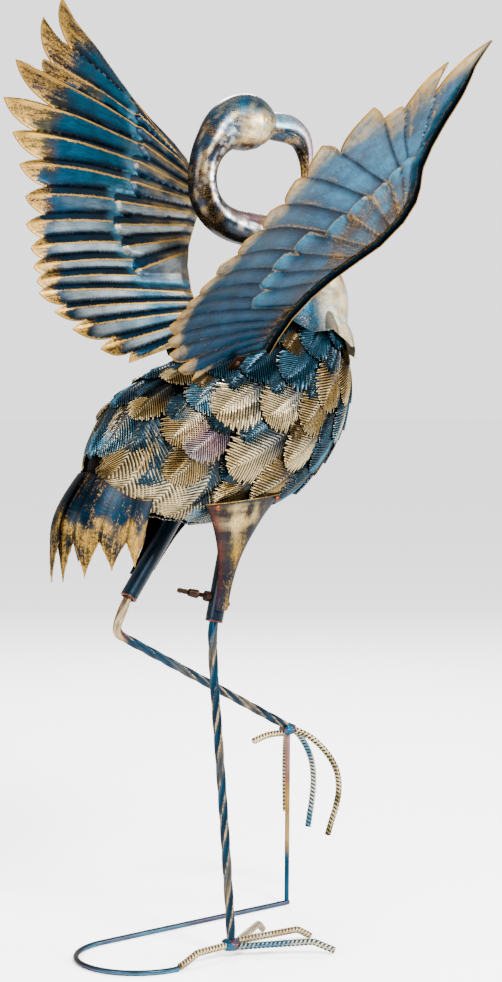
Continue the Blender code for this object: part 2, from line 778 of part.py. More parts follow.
def build_wing(name, side, material):
    """Make one stamped wing from the flat pattern, with its front edge folded under."""
    pattern = WingPattern()
    pattern.draw()
    flat = geometry.delaunay_2d_cdt(pattern.points, pattern.lines, [], 0, 0.05)
    sheet = bmesh.new()
    verts = []
    for point, sources in zip(flat[0], flat[3]):
        relief = max([pattern.heights[k] for k in sources] or [0.0])
        w = -pattern.camber(point) - relief
        verts.append(sheet.verts.new(wing_place(point.x, point.y, w, side)))
    for corners in flat[2]:
        centre = sum((flat[0][k] for k in corners), Vector((0, 0))) / len(corners)
        if inside_outline(centre, pattern.outline):
            sheet.faces.new([verts[k] for k in corners])
    lookup = {round(p.x * 10) * 100000 + round(p.y * 10): v for p, v in zip(flat[0], verts)}
    edge = [lookup[round(p.x * 10) * 100000 + round(p.y * 10)] for p in pattern.front]
    lip = []
    for k, p in enumerate(pattern.front):
        w = -pattern.camber(p) + FLANGE_DEPTH * min(1.0, k / FLANGE_TAPER)
        lip.append(sheet.verts.new(wing_place(p.x, p.y - FLANGE_SPREAD, w, side)))
    for k in range(len(edge) - 1):
        corners = (edge[k], edge[k + 1], lip[k + 1], lip[k])
        sheet.faces.new(corners if k else corners[:3])
    loose = [vert for vert in sheet.verts if not vert.link_faces]
    bmesh.ops.delete(sheet, geom=loose, context="VERTS")
    bmesh.ops.recalc_face_normals(sheet, faces=sheet.faces)
    wing = add_object(name, sheet, material)
    add_thickness(wing, WING_SHEET, 0.0)
    return wing


def box_between(name, centre, axes, sizes, material):
    """Make a box from its centre, three directions and three full sizes."""
    box = bmesh.new()
    bmesh.ops.create_cube(box, size=1.0)
    for vert in box.verts:
        local = vert.co.copy()
        vert.co = centre + sum((axes[k] * local[k] * sizes[k] for k in range(3)), Vector())
    box.normal_update()
    bmesh.ops.recalc_face_normals(box, faces=box.faces)
    return add_object(name, box, material)


def build_wing_bracket(name, side, wing, rows, material):
    """Make the flat strap on a wing's underside that stands on the leaf feathers."""
    place = wing_place(*BRACKET_PLACE, 0.0, side)
    out = (wing_place(BRACKET_PLACE[0] + 1.0, BRACKET_PLACE[1], 0.0, side) - place).normalized()
    under = (wing_place(*BRACKET_PLACE, 1.0, side) - place).normalized()
    along = out.cross(under)
    wing_tree = [solid_tree(wing)]
    row_trees = [solid_tree(row) for row in rows]
    steps = [step / BRACKET_RUNGS * 2 - 1 for step in range(BRACKET_RUNGS + 1)]
    drop = BRACKET_LAP
    for _ in range(3):
        gaps = []
        for step in steps:
            for rung in range(BRACKET_RUNGS + 1):
                height = blend(-drop - BRACKET_MARGIN, BRACKET_LAP, rung / BRACKET_RUNGS)
                start = place + along * BRACKET_WIDTH / 2 * step + out * height
                gaps.append(first_hit(wing_tree, start + under * BRACKET_REACH, -under))
        face = BRACKET_REACH - min(gaps) + BRACKET_FIT
        drops = []
        for step in steps:
            for depth in (face, face + BRACKET_SHEET):
                start = place + along * BRACKET_WIDTH / 2 * step + under * depth
                drops.append(first_hit(row_trees, start, -out))
        drop = min(drops) - GAP
    centre = place + under * (face + BRACKET_SHEET / 2) + out * (BRACKET_LAP - drop) / 2
    sizes = (BRACKET_WIDTH, BRACKET_SHEET, BRACKET_LAP + drop)
    return box_between(name, centre, (along, under, out), sizes, material)


def build_tail(material):
    """Make the tail skirt as two overlapping pointed sheets around the body's end."""
    sheets = []
    for name, (first, step) in TAIL_SHEETS.items():
        grid = []
        for share in TAIL_BANDS:
            line = []
            for column in range(TAIL_FEATHERS * TAIL_COLUMNS + 1):
                across = 2.0 * (column % TAIL_COLUMNS) / TAIL_COLUMNS - 1.0
                angle = math.radians(first + TAIL_FEATHER_ANGLE * column / TAIL_COLUMNS)
                length = blend(TAIL_DROP, TAIL_NOTCH, abs(across)**0.8)
                drop = length * share * (1 - TAIL_SIDE_CUT * math.sin(angle)**2)
                flare_share = math.sin(min(1.0, drop / TAIL_FLARE_DROP) * math.pi / 2)
                flare = TAIL_FLARE * flare_share + step
                flare += TAIL_RIDGE * (1 - abs(across)) * share
                x = (TAIL_RADII[0] + flare * TAIL_SPREAD) * math.sin(angle)
                y = TAIL_CENTRE[1] + TAIL_RADII[1] * math.cos(angle)
                y += flare * blend(TAIL_SIDE_SWEEP, 1.0, math.cos(angle)**2)
                line.append(at(x, y, TAIL_TOP - drop - TAIL_SLOPE * math.sin(angle)**2))
            grid.append(line)
        sheets.append(grid_sheet(name, grid, TAIL_SHEET, material))
    return sheets


def tube_point(tube, height):
    """Return the point of a hip tube's axis at a height of the pose."""
    low, high = tube
    share = (height - low[2]) / (high[2] - low[2])
    return at(blend(low[0], high[0], share), blend(low[1], high[1], share), height)


def build_hip_tube(name, tube, body, material):
    """Make the open socket tube whose upper end is cut to the body's skin."""
    low = at(*tube[0])
    axis = (at(*tube[1]) - low).normalized()
    body_tree = [solid_tree(body)]
    side = (Vector((1, 0, 0)) - axis * axis.x).normalized()
    up = axis.cross(side)
    rings = []
    inner_radius = TUBE_OUTER_RADIUS - TUBE_WALL
    for radius, at_top in ((TUBE_OUTER_RADIUS, False), (TUBE_OUTER_RADIUS, True),
                           (inner_radius, True), (inner_radius, False)):
        ring = []
        for k in range(TUBE_SIDES):
            angle = 2 * math.pi * k / TUBE_SIDES
            point = low + (side * math.cos(angle) + up * math.sin(angle)) * radius
            if at_top:
                point += axis * (first_hit(body_tree, point, axis) - HIP_TUBE_GAP)
            ring.append(point)
        rings.append(ring)
    wall = bmesh.new()
    rows = [[wall.verts.new(point) for point in ring] for ring in rings]
    for row, following in zip(rows, rows[1:] + rows[:1]):
        for k in range(TUBE_SIDES):
            n = (k + 1) % TUBE_SIDES
            wall.faces.new((row[k], row[n], following[n], following[k]))
    bmesh.ops.recalc_face_normals(wall, faces=wall.faces)
    return add_object(name, wall, material)


def build_thigh_cover(name, tube, side, bottom, material):
    """Make the half cone of sheet that covers a hip tube on its outer side."""
    lean = (at(*tube[1]) - at(*tube[0])).normalized()
    tip_bulge = TUBE_OUTER_RADIUS + THIGH_SHEET / 2 + THIGH_FIT
    tip_reach = tip_bulge / lean.z
    grid = []
    for i in range(THIGH_STEPS + 1):
        share = (i / THIGH_STEPS)**1.4
        centre = tube_point(tube, blend(THIGH_TOP, bottom, share))
        narrowing = (1 - share)**THIGH_NARROWING
        reach = blend(tip_reach, THIGH_TOP_REACH * UNIT, narrowing)
        bulge = blend(tip_bulge, THIGH_TOP_BULGE * UNIT, narrowing)
        centre.x = blend(centre.x, side * THIGH_TOP_X * UNIT, narrowing)
        centre.y += THIGH_TOP_BACK * narrowing * UNIT
        line = []
        for k in range(THIGH_COLUMNS + 1):
            rear_limit = blend(90.0, THIGH_TIP_REAR_LIMIT, share)
            angle = math.radians(blend(-90.0, rear_limit, k / THIGH_COLUMNS))
            rearward = reach * math.sin(angle)
            outward = bulge * math.cos(angle) + rearward * math.sin(THIGH_TURN) * narrowing
            rise = -THIGH_RIM_RISE * UNIT * narrowing * math.sin(angle)
            point = centre + Vector((side * outward, rearward, rise))
            if i == THIGH_STEPS:
                point -= lean * THIGH_TIP_LENGTH * UNIT * math.cos(angle)
            line.append(point)
        grid.append(line)
    return grid_sheet(name, grid, THIGH_SHEET, material)


def build_legs(material):
    """Make the standing leg and the bent raised leg from twisted rod, and return the last."""
    foot = at(*STANDING_FOOT)
    foot_top = foot + Vector((0, 0, WELD_SIZE[2] + GAP))
    tube_end = at(*RIGHT_TUBE[0])
    top = tube_end + (at(*RIGHT_TUBE[1]) - tube_end).normalized() * LEG_INSERTION
    knots = [foot_top] + [at(*place) for place in STANDING_LEG] + [tube_end, top]
    path = smooth_path(knots, LEG_STEP)
    twist = {"twist_pitch": LEG_PITCH, "strands": LEG_STRANDS}
    rod("standing_leg", path, LEG_RADIUS, material, **twist)
    tube_end = at(*LEFT_TUBE[0])
    axis = (at(*LEFT_TUBE[1]) - tube_end).normalized()
    top = tube_end + axis * LEG_INSERTION
    ankle = at(*RAISED_FOOT) + Vector((0, 0, ANKLE_RISE))
    bend_start = tube_end - axis * TUBE_MOUTH_RUN
    knee = at(*KNEE)
    toward_foot = (knee - ankle).normalized()
    end = ankle + toward_foot * WELD_INSIDE
    corners = bent_path([bend_start, knee, end], KNEE_BEND_RADIUS, 5)
    path = [top] + corners
    fine = [path[0]]
    for before, after in zip(path, path[1:]):
        pieces = max(1, round((after - before).length / LEG_STEP))
        fine += [before.lerp(after, k / pieces) for k in range(1, pieces + 1)]
    return rod("raised_leg", fine, LEG_RADIUS, material, **twist)


def toe_direction(degrees):
    """Return the level direction of a toe, turned from straight ahead to the bird's right."""
    angle = math.radians(degrees)
    return Vector((-math.sin(angle), -math.cos(angle), 0))


def build_weld(name, place, material, grow=0.0):
    """Make the lump of weld that joins a foot, or its larger clearance."""
    lump = bmesh.new()
    bmesh.ops.create_uvsphere(lump, u_segments=12, v_segments=6, radius=1.0)
    for vert in lump.verts:
        vert.co = at(*place) + Vector([vert.co[k] * (WELD_SIZE[k] + grow) for k in range(3)])
    return add_object(name, lump, material)


def build_standing_foot(material, weld_material):
    """Make the three front toes, the back toe and the weld of the standing foot."""
    centre = at(*STANDING_FOOT)
    start_reach = WELD_SIZE[0] + 2 * GAP
    for name, (turn, bend, tip, rise) in STANDING_TOES.items():
        out = toe_direction(turn)
        start = centre + out * start_reach
        start.z = centre.z + rise * UNIT
        corner = centre + out * bend * UNIT
        corner.z = TOE_BEND_HEIGHT * UNIT
        end = centre + out * tip * UNIT
        end.z = TOE_TIP_HEIGHT * UNIT
        rod(name, bent_path([start, corner, end], TOE_BEND_RADIUS), TOE_RADIUS, material, TOE_SIDES)
    out = toe_direction(180.0)
    start = centre + out * start_reach
    corners = [start] + [at(*place) for place in STANDING_BACK_TOE]
    path = bent_path(corners, TOE_BEND_RADIUS * 0.6, 2)
    rod("standing_toe_back", path, TOE_RADIUS, material, TOE_SIDES)
    build_weld("standing_foot_weld", STANDING_FOOT, weld_material)


def build_raised_foot(leg, material, weld_material):
    """Make the raised foot's toes and weld, with the toes and the leg cut to the weld."""
    centre = at(*RAISED_FOOT)
    build_weld("raised_foot_weld", RAISED_FOOT, weld_material)
    clearance = build_weld("raised_weld_clearance", RAISED_FOOT, weld_material, GAP)
    cut_away(leg, clearance)
    for name, (turn, reach, drop) in RAISED_TOES.items():
        out = toe_direction(turn)
        knots = [centre + out * WELD_INSIDE]
        for out_share, drop_share in HANGING_TOE:
            place = centre + out * max(reach * out_share * UNIT, WELD_INSIDE + TOE_RADIUS * 2)
            knots.append(place - Vector((0, 0, drop * drop_share * UNIT)))
        toe = rod(name, smooth_path(knots, TOE_STEP), TOE_RADIUS, material, TOE_SIDES)
        cut_away(toe, clearance)
    out = toe_direction(180.0)
    low = centre - Vector((0, 0, TOE_RADIUS))
    path = [low + out * WELD_INSIDE]
    for reach, drop in RAISED_BACK_TOE:
        path.append(low + out * reach * UNIT - Vector((0, 0, drop * UNIT)))
    toe = rod("raised_toe_back", smooth_path(path, TOE_STEP), TOE_RADIUS, material, TOE_SIDES)
    cut_away(toe, clearance)


def build_base(material):
    """Make the flat wire loop and the thin rod that carries the raised foot."""
    half = LOOP_HALF_WIDTH * UNIT
    bend = LOOP_BEND_Y * UNIT
    height = LOOP_RADIUS * math.cos(LOOP_FIRST_ANGLE)
    path = [Vector((half, LOOP_FRONT_Y * UNIT, height)), Vector((half, 0, height))]
    for k in range(LOOP_ARC_PIECES + 1):
        angle = math.pi * k / LOOP_ARC_PIECES
        path.append(Vector((math.cos(angle) * half, bend + math.sin(angle) * half, height)))
    rod("base_loop", path, LOOP_RADIUS, material, first_angle=LOOP_FIRST_ANGLE)
    foot = at(*RAISED_FOOT)
    low = Vector((half, LOOP_FRONT_Y * UNIT + SUPPORT_RADIUS * 1.2, 2 * height + GAP))
    high = foot - Vector((0, 0, WELD_SIZE[2] + GAP))
    rod("support_rod", [low, low.lerp(high, 0.5), high], SUPPORT_RADIUS, material)


def build_thumb_screw(name, tube, toward, height, material):
    """Make the nut on a hip tube with its thumb screw, cut to the tube's side."""
    centre = tube_point(tube, height)
    upright = (at(*tube[1]) - at(*tube[0])).normalized()
    axis = Vector(toward)
    axis = (axis - upright * axis.dot(upright)).normalized()
    start = TUBE_OUTER_RADIUS + GAP
    across = axis.cross(upright)
    rings = []
    end = start + SCREW_LENGTH
    shank_end = end - SCREW_HEAD_LENGTH - SCREW_SHOULDER
    profile = ((start, NUT_RADIUS), (start + NUT_LENGTH, NUT_RADIUS),
               (start + NUT_LENGTH, SCREW_RADIUS), (shank_end, SCREW_RADIUS),
               (shank_end + SCREW_SHOULDER, SCREW_HEAD_RADIUS), (end, SCREW_HEAD_RADIUS * 0.85))
    for reach, radius in profile:
        ring = []
        for k in range(SCREW_SIDES):
            angle = 2 * math.pi * k / SCREW_SIDES
            around = across * math.cos(angle) + upright * math.sin(angle)
            ring.append(centre + axis * reach + around * radius)
        rings.append(ring)
    screw = add_object(name, close_rings(rings), material)
    handle_start = end + GAP
    middle = centre + axis * (handle_start + HANDLE_LENGTH / 2)
    sizes = (HANDLE_SIZE[0], HANDLE_LENGTH, HANDLE_SIZE[1])
    box_between(name + "_handle", middle, (across, axis, upright), sizes, material)
    return screw


def build_thigh_screws(name, tube, side, cover, material):
    """Make the two small screws whose heads sit on a thigh cover's rim."""
    cover_tree = [solid_tree(cover)]
    inward = Vector((-side, 0, 0))
    turn = Matrix.Rotation(math.pi / 2, 4, "Y")
    for label, reach in HEAD_PLACES.items():
        start = tube_point(tube, THIGH_TOP - SCREW_BELOW_RIM)
        start.x += side * BRACKET_REACH * 2
        start.y += (THIGH_TOP_BACK + reach * THIGH_TOP_REACH) * UNIT
        start.z -= reach * THIGH_RIM_RISE * UNIT
        gaps = []
        for k in range(SCREW_SIDES):
            angle = 2 * math.pi * k / SCREW_SIDES
            around = Vector((0, math.cos(angle), math.sin(angle))) * HEAD_RADIUS
            gaps.append(first_hit(cover_tree, start + around, inward))
        seat = start + inward * (min(gaps) - GAP - HEAD_DEPTH / 2)
        head = bmesh.new()
        bmesh.ops.create_cone(head, cap_ends=True, segments=SCREW_SIDES, radius1=HEAD_RADIUS,
                              radius2=HEAD_RADIUS, depth=HEAD_DEPTH,
                              matrix=Matrix.Translation(seat) @ turn)
        add_object(f"{name}_{label}", head, material)


def centre_on_base():
    """Move every object so that the origin is under the middle of the whole."""
    depsgraph = bpy.context.evaluated_depsgraph_get()
    corners = []
    for item in bpy.data.objects:
        if not item.hide_render:
            corners += [vert.co.copy() for vert in item.evaluated_get(depsgraph).data.vertices]
    lowest = [min(corner[k] for corner in corners) for k in range(3)]
    highest = [max(corner[k] for corner in corners) for k in range(3)]
    shift = Vector((-(lowest[0] + highest[0]) / 2, -(lowest[1] + highest[1]) / 2, -lowest[2]))
    for item in bpy.data.objects:
        item.data.transform(Matrix.Translation(shift))


def main():
    """Build the whole bird."""
    for item in list(bpy.data.objects):
        bpy.data.objects.remove(item)
    teal = painted("Teal patina", (0.05, 0.22, 0.30))
    leaf = painted("Gilded teal leaves", (0.30, 0.31, 0.22))
    copper = painted("Copper violet", (0.33, 0.24, 0.26))
    black = painted("Black shell", (0.02, 0.02, 0.025), 0.6, 0.5)
    dark_tube = painted("Dark plum steel", (0.07, 0.05, 0.07), 0.5)
    wire = painted("Blue grey wire", (0.16, 0.27, 0.36))
    toe_paint = painted("Silver beige toes", (0.45, 0.42, 0.36))
    body = build_body(black)
    rows = build_leaf_rows(leaf)
    build_neck(copper)
    build_bill(copper)
    for name, side in (("left", 1), ("right", -1)):
        wing = build_wing(f"wing_{name}", side, teal)
        build_wing_bracket(f"wing_bracket_{name}", side, wing, rows, dark_tube)
    build_tail(teal)
    for name, tube, side in (("right", RIGHT_TUBE, -1), ("left", LEFT_TUBE, 1)):
        build_hip_tube(f"hip_tube_{name}", tube, body, dark_tube)
        cover = build_thigh_cover(f"thigh_cover_{name}", tube, side, THIGH_BOTTOMS[name], teal)
        build_thigh_screws(f"thigh_screw_{name}", tube, side, cover, dark_tube)
    for name, (tube, toward, height) in THUMB_SCREWS.items():
        build_thumb_screw(f"thumb_screw_{name}", tube, toward, height, dark_tube)
    raised_leg = build_legs(wire)
    build_standing_foot(toe_paint, wire)
    build_raised_foot(raised_leg, toe_paint, wire)
    build_base(wire)
    centre_on_base()


main()
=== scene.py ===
"""Looks of the garden flamingo: finely modelled sheet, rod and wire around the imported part."""
import logging
import math
from dataclasses import dataclass, field
from enum import Enum
from typing import Callable, Iterable, Optional, Sequence

import bmesh
import bpy
import numpy as np
from mathutils import Matrix, Vector, geometry


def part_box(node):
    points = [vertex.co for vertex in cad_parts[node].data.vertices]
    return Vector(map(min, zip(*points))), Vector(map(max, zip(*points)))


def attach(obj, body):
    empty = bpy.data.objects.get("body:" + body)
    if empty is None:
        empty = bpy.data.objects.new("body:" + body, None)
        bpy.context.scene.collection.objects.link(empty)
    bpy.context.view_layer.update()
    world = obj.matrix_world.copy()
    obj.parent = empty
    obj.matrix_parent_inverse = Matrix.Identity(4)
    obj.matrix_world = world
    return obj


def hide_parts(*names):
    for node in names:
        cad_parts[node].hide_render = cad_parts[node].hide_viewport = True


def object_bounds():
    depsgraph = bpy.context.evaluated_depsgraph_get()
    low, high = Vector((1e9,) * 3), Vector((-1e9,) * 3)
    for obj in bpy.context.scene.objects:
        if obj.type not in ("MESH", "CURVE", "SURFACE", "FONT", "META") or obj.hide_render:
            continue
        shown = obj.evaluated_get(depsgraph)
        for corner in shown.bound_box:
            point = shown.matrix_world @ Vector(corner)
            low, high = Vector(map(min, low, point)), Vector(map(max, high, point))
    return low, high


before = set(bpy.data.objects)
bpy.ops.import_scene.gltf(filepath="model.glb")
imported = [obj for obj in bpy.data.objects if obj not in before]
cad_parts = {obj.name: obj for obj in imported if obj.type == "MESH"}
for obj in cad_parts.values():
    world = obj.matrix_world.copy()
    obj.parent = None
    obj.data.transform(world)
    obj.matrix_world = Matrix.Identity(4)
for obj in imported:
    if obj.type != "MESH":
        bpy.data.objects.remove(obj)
FRAME_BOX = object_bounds()
LOG = logging.getLogger("flamingo")
MM = 0.001

# The pose is drawn about the middle of the base loop, which the frame places
LOOP_HALF_WIDTH = 67.5
LOOP_BEND_Y = 79.5
LOOP_RADIUS = 3.2

# Bright studio light lifts every paint, so that each is laid on deeper than it looks
PAINT_DEPTH = 1.72
PAINT_STRENGTH = 0.50

# Steps along a path, in metres: plain rod and ribbed rod
PLAIN_STEP = 0.0024
RIBBED_STEP = 0.0007

# Short names of what the functions pass on: Layers is a tint and a wear, or two arrays that
# belong together, Place is in millimetres of the pose, Ring is four values of one section
Array = np.ndarray
Colour = tuple[float, float, float]
Directions = tuple[Vector, Vector, Vector]
Face = tuple[int, ...]
Layers = tuple[Array, Array]
Piece = bpy.types.Object
Place = tuple[float, float, float]
Ring = tuple[float, float, float, float]
Socket = bpy.types.NodeSocket
Span = tuple[float, float]


def loop_shift() -> Vector:
    """Return how far the frame lies from the pose's own origin.

    Returns:
        Metres, along each axis.
    """
    low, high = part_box("base_loop")
    middle = (low[0] + high[0]) / 2
    back = (LOOP_BEND_Y + LOOP_HALF_WIDTH + LOOP_RADIUS) * MM
    return Vector((middle, high[1] - back, 0.0))


SHIFT = loop_shift()


def at(x: float, y: float, z: float) -> Vector:
    """Return a point of the pose, given in millimetres, in the frame's metres."""
    return Vector((x, y, z)) * MM + SHIFT


def srgb(red: int, green: int, blue: int) -> Colour:
    """Return the linear colour of a paint named by its screen values."""
    def linear(value: int) -> float:
        """Return the linear share of one screen value."""
        share = value / 255
        return share / 12.92 if share <= 0.04045 else ((share + 0.055) / 1.055)**2.4
    return tuple(PAINT_STRENGTH * linear(value)**PAINT_DEPTH for value in (red, green, blue))


class Paint(Enum):
    """The paints that the finish is built up from."""

    BLACK = srgb(8, 10, 12)
    NAVY = srgb(18, 38, 50)
    DEEP_TEAL = srgb(16, 78, 98)
    TEAL = srgb(22, 110, 134)
    TURQUOISE = srgb(44, 150, 174)
    STEEL_BLUE = srgb(112, 160, 178)
    PALE_BLUE = srgb(156, 190, 202)
    SILVER = srgb(206, 214, 216)
    CREAM = srgb(238, 224, 190)
    BEIGE = srgb(204, 186, 152)
    GOLD = srgb(196, 168, 108)
    OLIVE = srgb(138, 128, 80)
    BRONZE = srgb(106, 82, 62)
    BROWN = srgb(62, 44, 38)
    COPPER = srgb(158, 104, 84)
    PINK = srgb(222, 190, 190)
    VIOLET = srgb(124, 106, 134)
    PLUM = srgb(48, 38, 52)


def ramp(values: Array, low: float, high: float) -> Array:
    """Return a smooth share from 0 at low to 1 at high."""
    share = np.clip((values - low) / (high - low), 0.0, 1.0)
    return share * share * (3 - 2 * share)


def hump(values: Array, middle: float, width: float) -> Array:
    """Return a share that is 1 at the middle and falls smoothly to 0 past width."""
    return np.exp(-((values - middle) / width)**2)


def turns(sides: int) -> Array:
    """Return angles at equal steps round a circle."""
    return 2 * np.pi * np.arange(sides) / sides


def eased_square(values: Array, power: float) -> Array:
    """Return sines or cosines bent towards the corners of a square."""
    return np.sign(values) * np.abs(values)**power


def mix(base: Array, paint: Paint, share: Array) -> Array:
    """Lay a paint over colours, by a share for each point."""
    share = np.clip(share, 0.0, 1.0)[:, None]
    return base * (1 - share) + np.array(paint.value) * share


def coat(paint: Paint, count: int) -> Array:
    """Return one paint for each of count points."""
    return np.tile(np.array(paint.value), (count, 1))


def blend(low: float, high: float, share: float) -> float:
    """Return the value that lies share of the way from low to high."""
    return low + (high - low) * share


def waves(points: Array, size: float, seed: int, octaves: int = 3) -> Array:
    """Return smooth patches from -1 to 1 over points, about size wide.

    Args:
        points: one row for each point.
        size: width of the broadest patches, in the points' unit.
        seed: which patches.
        octaves: how many finer patches are added.

    Returns:
        One value for each point.
    """
    rng = np.random.default_rng(seed)
    total = np.zeros(len(points))
    weight = 1.0
    for octave in range(octaves):
        for _ in range(5):
            direction = rng.normal(size=points.shape[1])
            direction *= 2**octave * math.pi / (size * np.linalg.norm(direction))
            total += weight * np.sin(points @ direction + rng.uniform(0, 2 * math.pi))
        weight *= 0.6
    return np.clip(total / 3.2, -1.0, 1.0)


def linked(name: str, data: bpy.types.ID) -> Piece:
    """Return a new object of the scene that shows a mesh, a light or a camera."""
    item = bpy.data.objects.new(name, data)
    bpy.context.scene.collection.objects.link(item)
    return item


class Graph:
    """The nodes of one material, with short ways to add and join them."""

    def __init__(self, name: str) -> None:
        """Start a material of this name."""
        self.material = bpy.data.materials.new(name)
        self.material.use_nodes = True
        self.nodes = self.material.node_tree.nodes
        self.inputs = self.nodes["Principled BSDF"].inputs

    def join(self, source: object, target: Socket) -> None:
        """Link a socket to a target, or set a number or a colour there.

        Args:
            source: a socket, a number or a colour.
            target: the input that takes it.
        """
        if isinstance(source, Socket):
            self.material.node_tree.links.new(source, target)
        elif isinstance(source, (int, float)):
            target.default_value = source
        else:
            target.default_value = (*source, 1.0)

    def attribute(self, name: str, output: str) -> Socket:
        """Return one of the mesh's own layers."""
        node = self.nodes.new("ShaderNodeAttribute")
        node.attribute_name = name
        return node.outputs[output]

    def place(self) -> Socket:
        """Return the place within the object."""
        return self.nodes.new("ShaderNodeTexCoord").outputs["Object"]

    def noise(self, vector: Socket, scale: float, detail: float, roughness: float = 0.65) -> Socket:
        """Return the value of a noise texture.

        Args:
            vector: where it is read.
            scale: how many grains there are to a unit of the vector.
            detail: how many finer grains are added.
            roughness: how strong those are.

        Returns:
            The socket of the noise.
        """
        node = self.nodes.new("ShaderNodeTexNoise")
        node.inputs["Scale"].default_value = scale
        node.inputs["Detail"].default_value = detail
        node.inputs["Roughness"].default_value = roughness
        self.join(vector, node.inputs["Vector"])
        return node.outputs["Fac"]

    def math(self, operation: str, *values: object) -> Socket:
        """Return the result of a sum, such as ADD, on sockets or numbers.

        Args:
            operation: the kind of sum.
            values: what goes into it.

        Returns:
            The socket of the result.
        """
        node = self.nodes.new("ShaderNodeMath")
        node.operation = operation
        for value, socket in zip(values, node.inputs):
            self.join(value, socket)
        return node.outputs[0]

    def eased(self, value: Socket, source: Span, target: Span = (0.0, 1.0)) -> Socket:
        """Return a value moved smoothly from one range to another.

        Args:
            value: the value.
            source: the range that it lies in.
            target: the range that it is moved to.

        Returns:
            The socket of the moved value.
        """
        node = self.nodes.new("ShaderNodeMapRange")
        node.interpolation_type = "SMOOTHSTEP"
        names = ("Value", "From Min", "From Max", "To Min", "To Max")
        for name, part in zip(names, (value, *source, *target)):
            self.join(part, node.inputs[name])
        return node.outputs["Result"]

    def mix(self, kind: str, factor: object, first: object, second: object) -> Socket:
        """Return the mix of two colours.

        Args:
            kind: blend type, such as MIX or MULTIPLY.
            factor: a socket or a number.
            first: a socket or a colour.
            second: a socket or a colour.

        Returns:
            The socket of the mixed colour.
        """
        node = self.nodes.new("ShaderNodeMix")
        node.data_type = "RGBA"
        node.blend_type = kind
        colours = [socket for socket in node.inputs if socket.type == "RGBA"]
        for socket, value in zip((node.inputs["Factor"], *colours), (factor, first, second)):
            self.join(value, socket)
        return [socket for socket in node.outputs if socket.type == "RGBA"][0]


@dataclass(frozen=True)
class Patina:
    """Painted steel with a dry-brushed second paint and fine grit.

    The base paint, with any painted light and shade, comes with the mesh as the attribute tint,
    the places that the dry brush touches as wear, and the direction of the sheet or rod as flow.
    """

    name: str
    brush: Paint = Paint.GOLD
    # Grains and streaks to a metre, the streaks along and across the flow
    grit: float = 420.0
    streaks: Span = (60.0, 700.0)
    # How far grain and streaks break up the dry brush
    contrast: float = 0.75
    roughness: float = 0.40
    metallic: float = 0.80
    coat: float = 0.08
    shine: float = 0.28
    dent: float = 0.16
    glint: float = 0.35

    def make(self) -> bpy.types.Material:
        """Build the material and return it.

        Returns:
            The new material.
        """
        graph = Graph(self.name)
        fine = graph.noise(graph.place(), self.grit, 5.0)
        patches = graph.noise(graph.place(), self.grit / 7, 3.0)
        stretched = graph.nodes.new("ShaderNodeVectorMath")
        stretched.operation = "MULTIPLY"
        graph.join(graph.attribute("flow", "Vector"), stretched.inputs[0])
        stretched.inputs[1].default_value = (*self.streaks, 1.0)
        brushed = graph.noise(stretched.outputs[0], 1.0, 4.0)
        rough = graph.math("ADD", fine, brushed)
        amount = graph.math("MULTIPLY_ADD", rough, self.contrast, graph.attribute("wear", "Fac"))
        mask = graph.eased(amount, (0.5 + self.contrast, 0.85 + self.contrast))
        shade = graph.eased(graph.math("ADD", brushed, patches), (0.7, 1.3), (0.62, 1.22))
        grey = graph.nodes.new("ShaderNodeCombineColor")
        for socket in grey.inputs[:3]:
            graph.join(shade, socket)
        paint = graph.mix("MULTIPLY", 1.0, graph.attribute("tint", "Color"), grey.outputs[0])
        finish = graph.mix("MIX", mask, paint, self.brush.value)
        gloss = (self.roughness - 0.10, self.roughness + 0.14)
        bump = graph.nodes.new("ShaderNodeBump")
        for name, value in (("Strength", self.dent), ("Distance", 0.6 * MM), ("Height", rough)):
            graph.join(value, bump.inputs[name])
        for name, value in (
                ("Base Color", finish),
                ("Specular Tint", graph.mix("MIX", self.glint, finish, Paint.CREAM.value)),
                ("Roughness", graph.eased(rough, (0.6, 1.4), gloss)),
                ("Metallic", self.metallic),
                ("Specular IOR Level", self.shine),
                ("Coat Weight", self.coat),
                ("Coat Roughness", 0.22),
                ("Normal", bump.outputs["Normal"])):
            graph.join(value, graph.inputs[name])
        return graph.material


FINISHES = {
    "wing": Patina("Wing patina", Paint.GOLD, metallic=0.7, coat=0.02, glint=0.15),
    "leaf": Patina("Leaf patina", Paint.CREAM, grit=620.0, contrast=0.75, roughness=0.32, metallic=0.85),
    "body": Patina("Black shell", Paint.NAVY, metallic=0.1, roughness=0.6, coat=0.0, shine=0.1),
    "neck": Patina("Neck patina", Paint.GOLD, grit=640.0, streaks=(380.0, 600.0), contrast=1.1,
                   roughness=0.27, metallic=0.85, coat=0.15, dent=0.12),
    "bill": Patina("Bill patina", Paint.GOLD, grit=640.0, streaks=(300.0, 600.0), contrast=1.0,
                   roughness=0.30, metallic=0.85, coat=0.15),
    "tail": Patina("Tail patina", Paint.GOLD, streaks=(30.0, 1500.0), contrast=1.25, metallic=0.7,
                   coat=0.02, glint=0.15),
    "thigh": Patina("Thigh cover patina", Paint.GOLD, streaks=(35.0, 900.0), contrast=1.1, coat=0.04,
                    glint=0.2),
    "tube": Patina("Plum tube", Paint.COPPER, metallic=0.55, roughness=0.36, dent=0.08),
    "leg": Patina("Twisted rod patina", Paint.BEIGE, streaks=(24.0, 500.0), contrast=0.8, roughness=0.36),
    "toe": Patina("Ribbed rod patina", Paint.CREAM, grit=600.0, streaks=(120.0, 500.0), contrast=0.6,
                  roughness=0.36, metallic=0.7),
    "weld": Patina("Weld patina", Paint.TURQUOISE, grit=500.0, contrast=0.7, roughness=0.3, metallic=0.7),
    "wire": Patina("Wire patina", Paint.STEEL_BLUE, streaks=(18.0, 420.0), contrast=0.7, roughness=0.34),
    "screw": Patina("Screw bronze", Paint.COPPER, contrast=0.6, roughness=0.4, metallic=0.75),
}
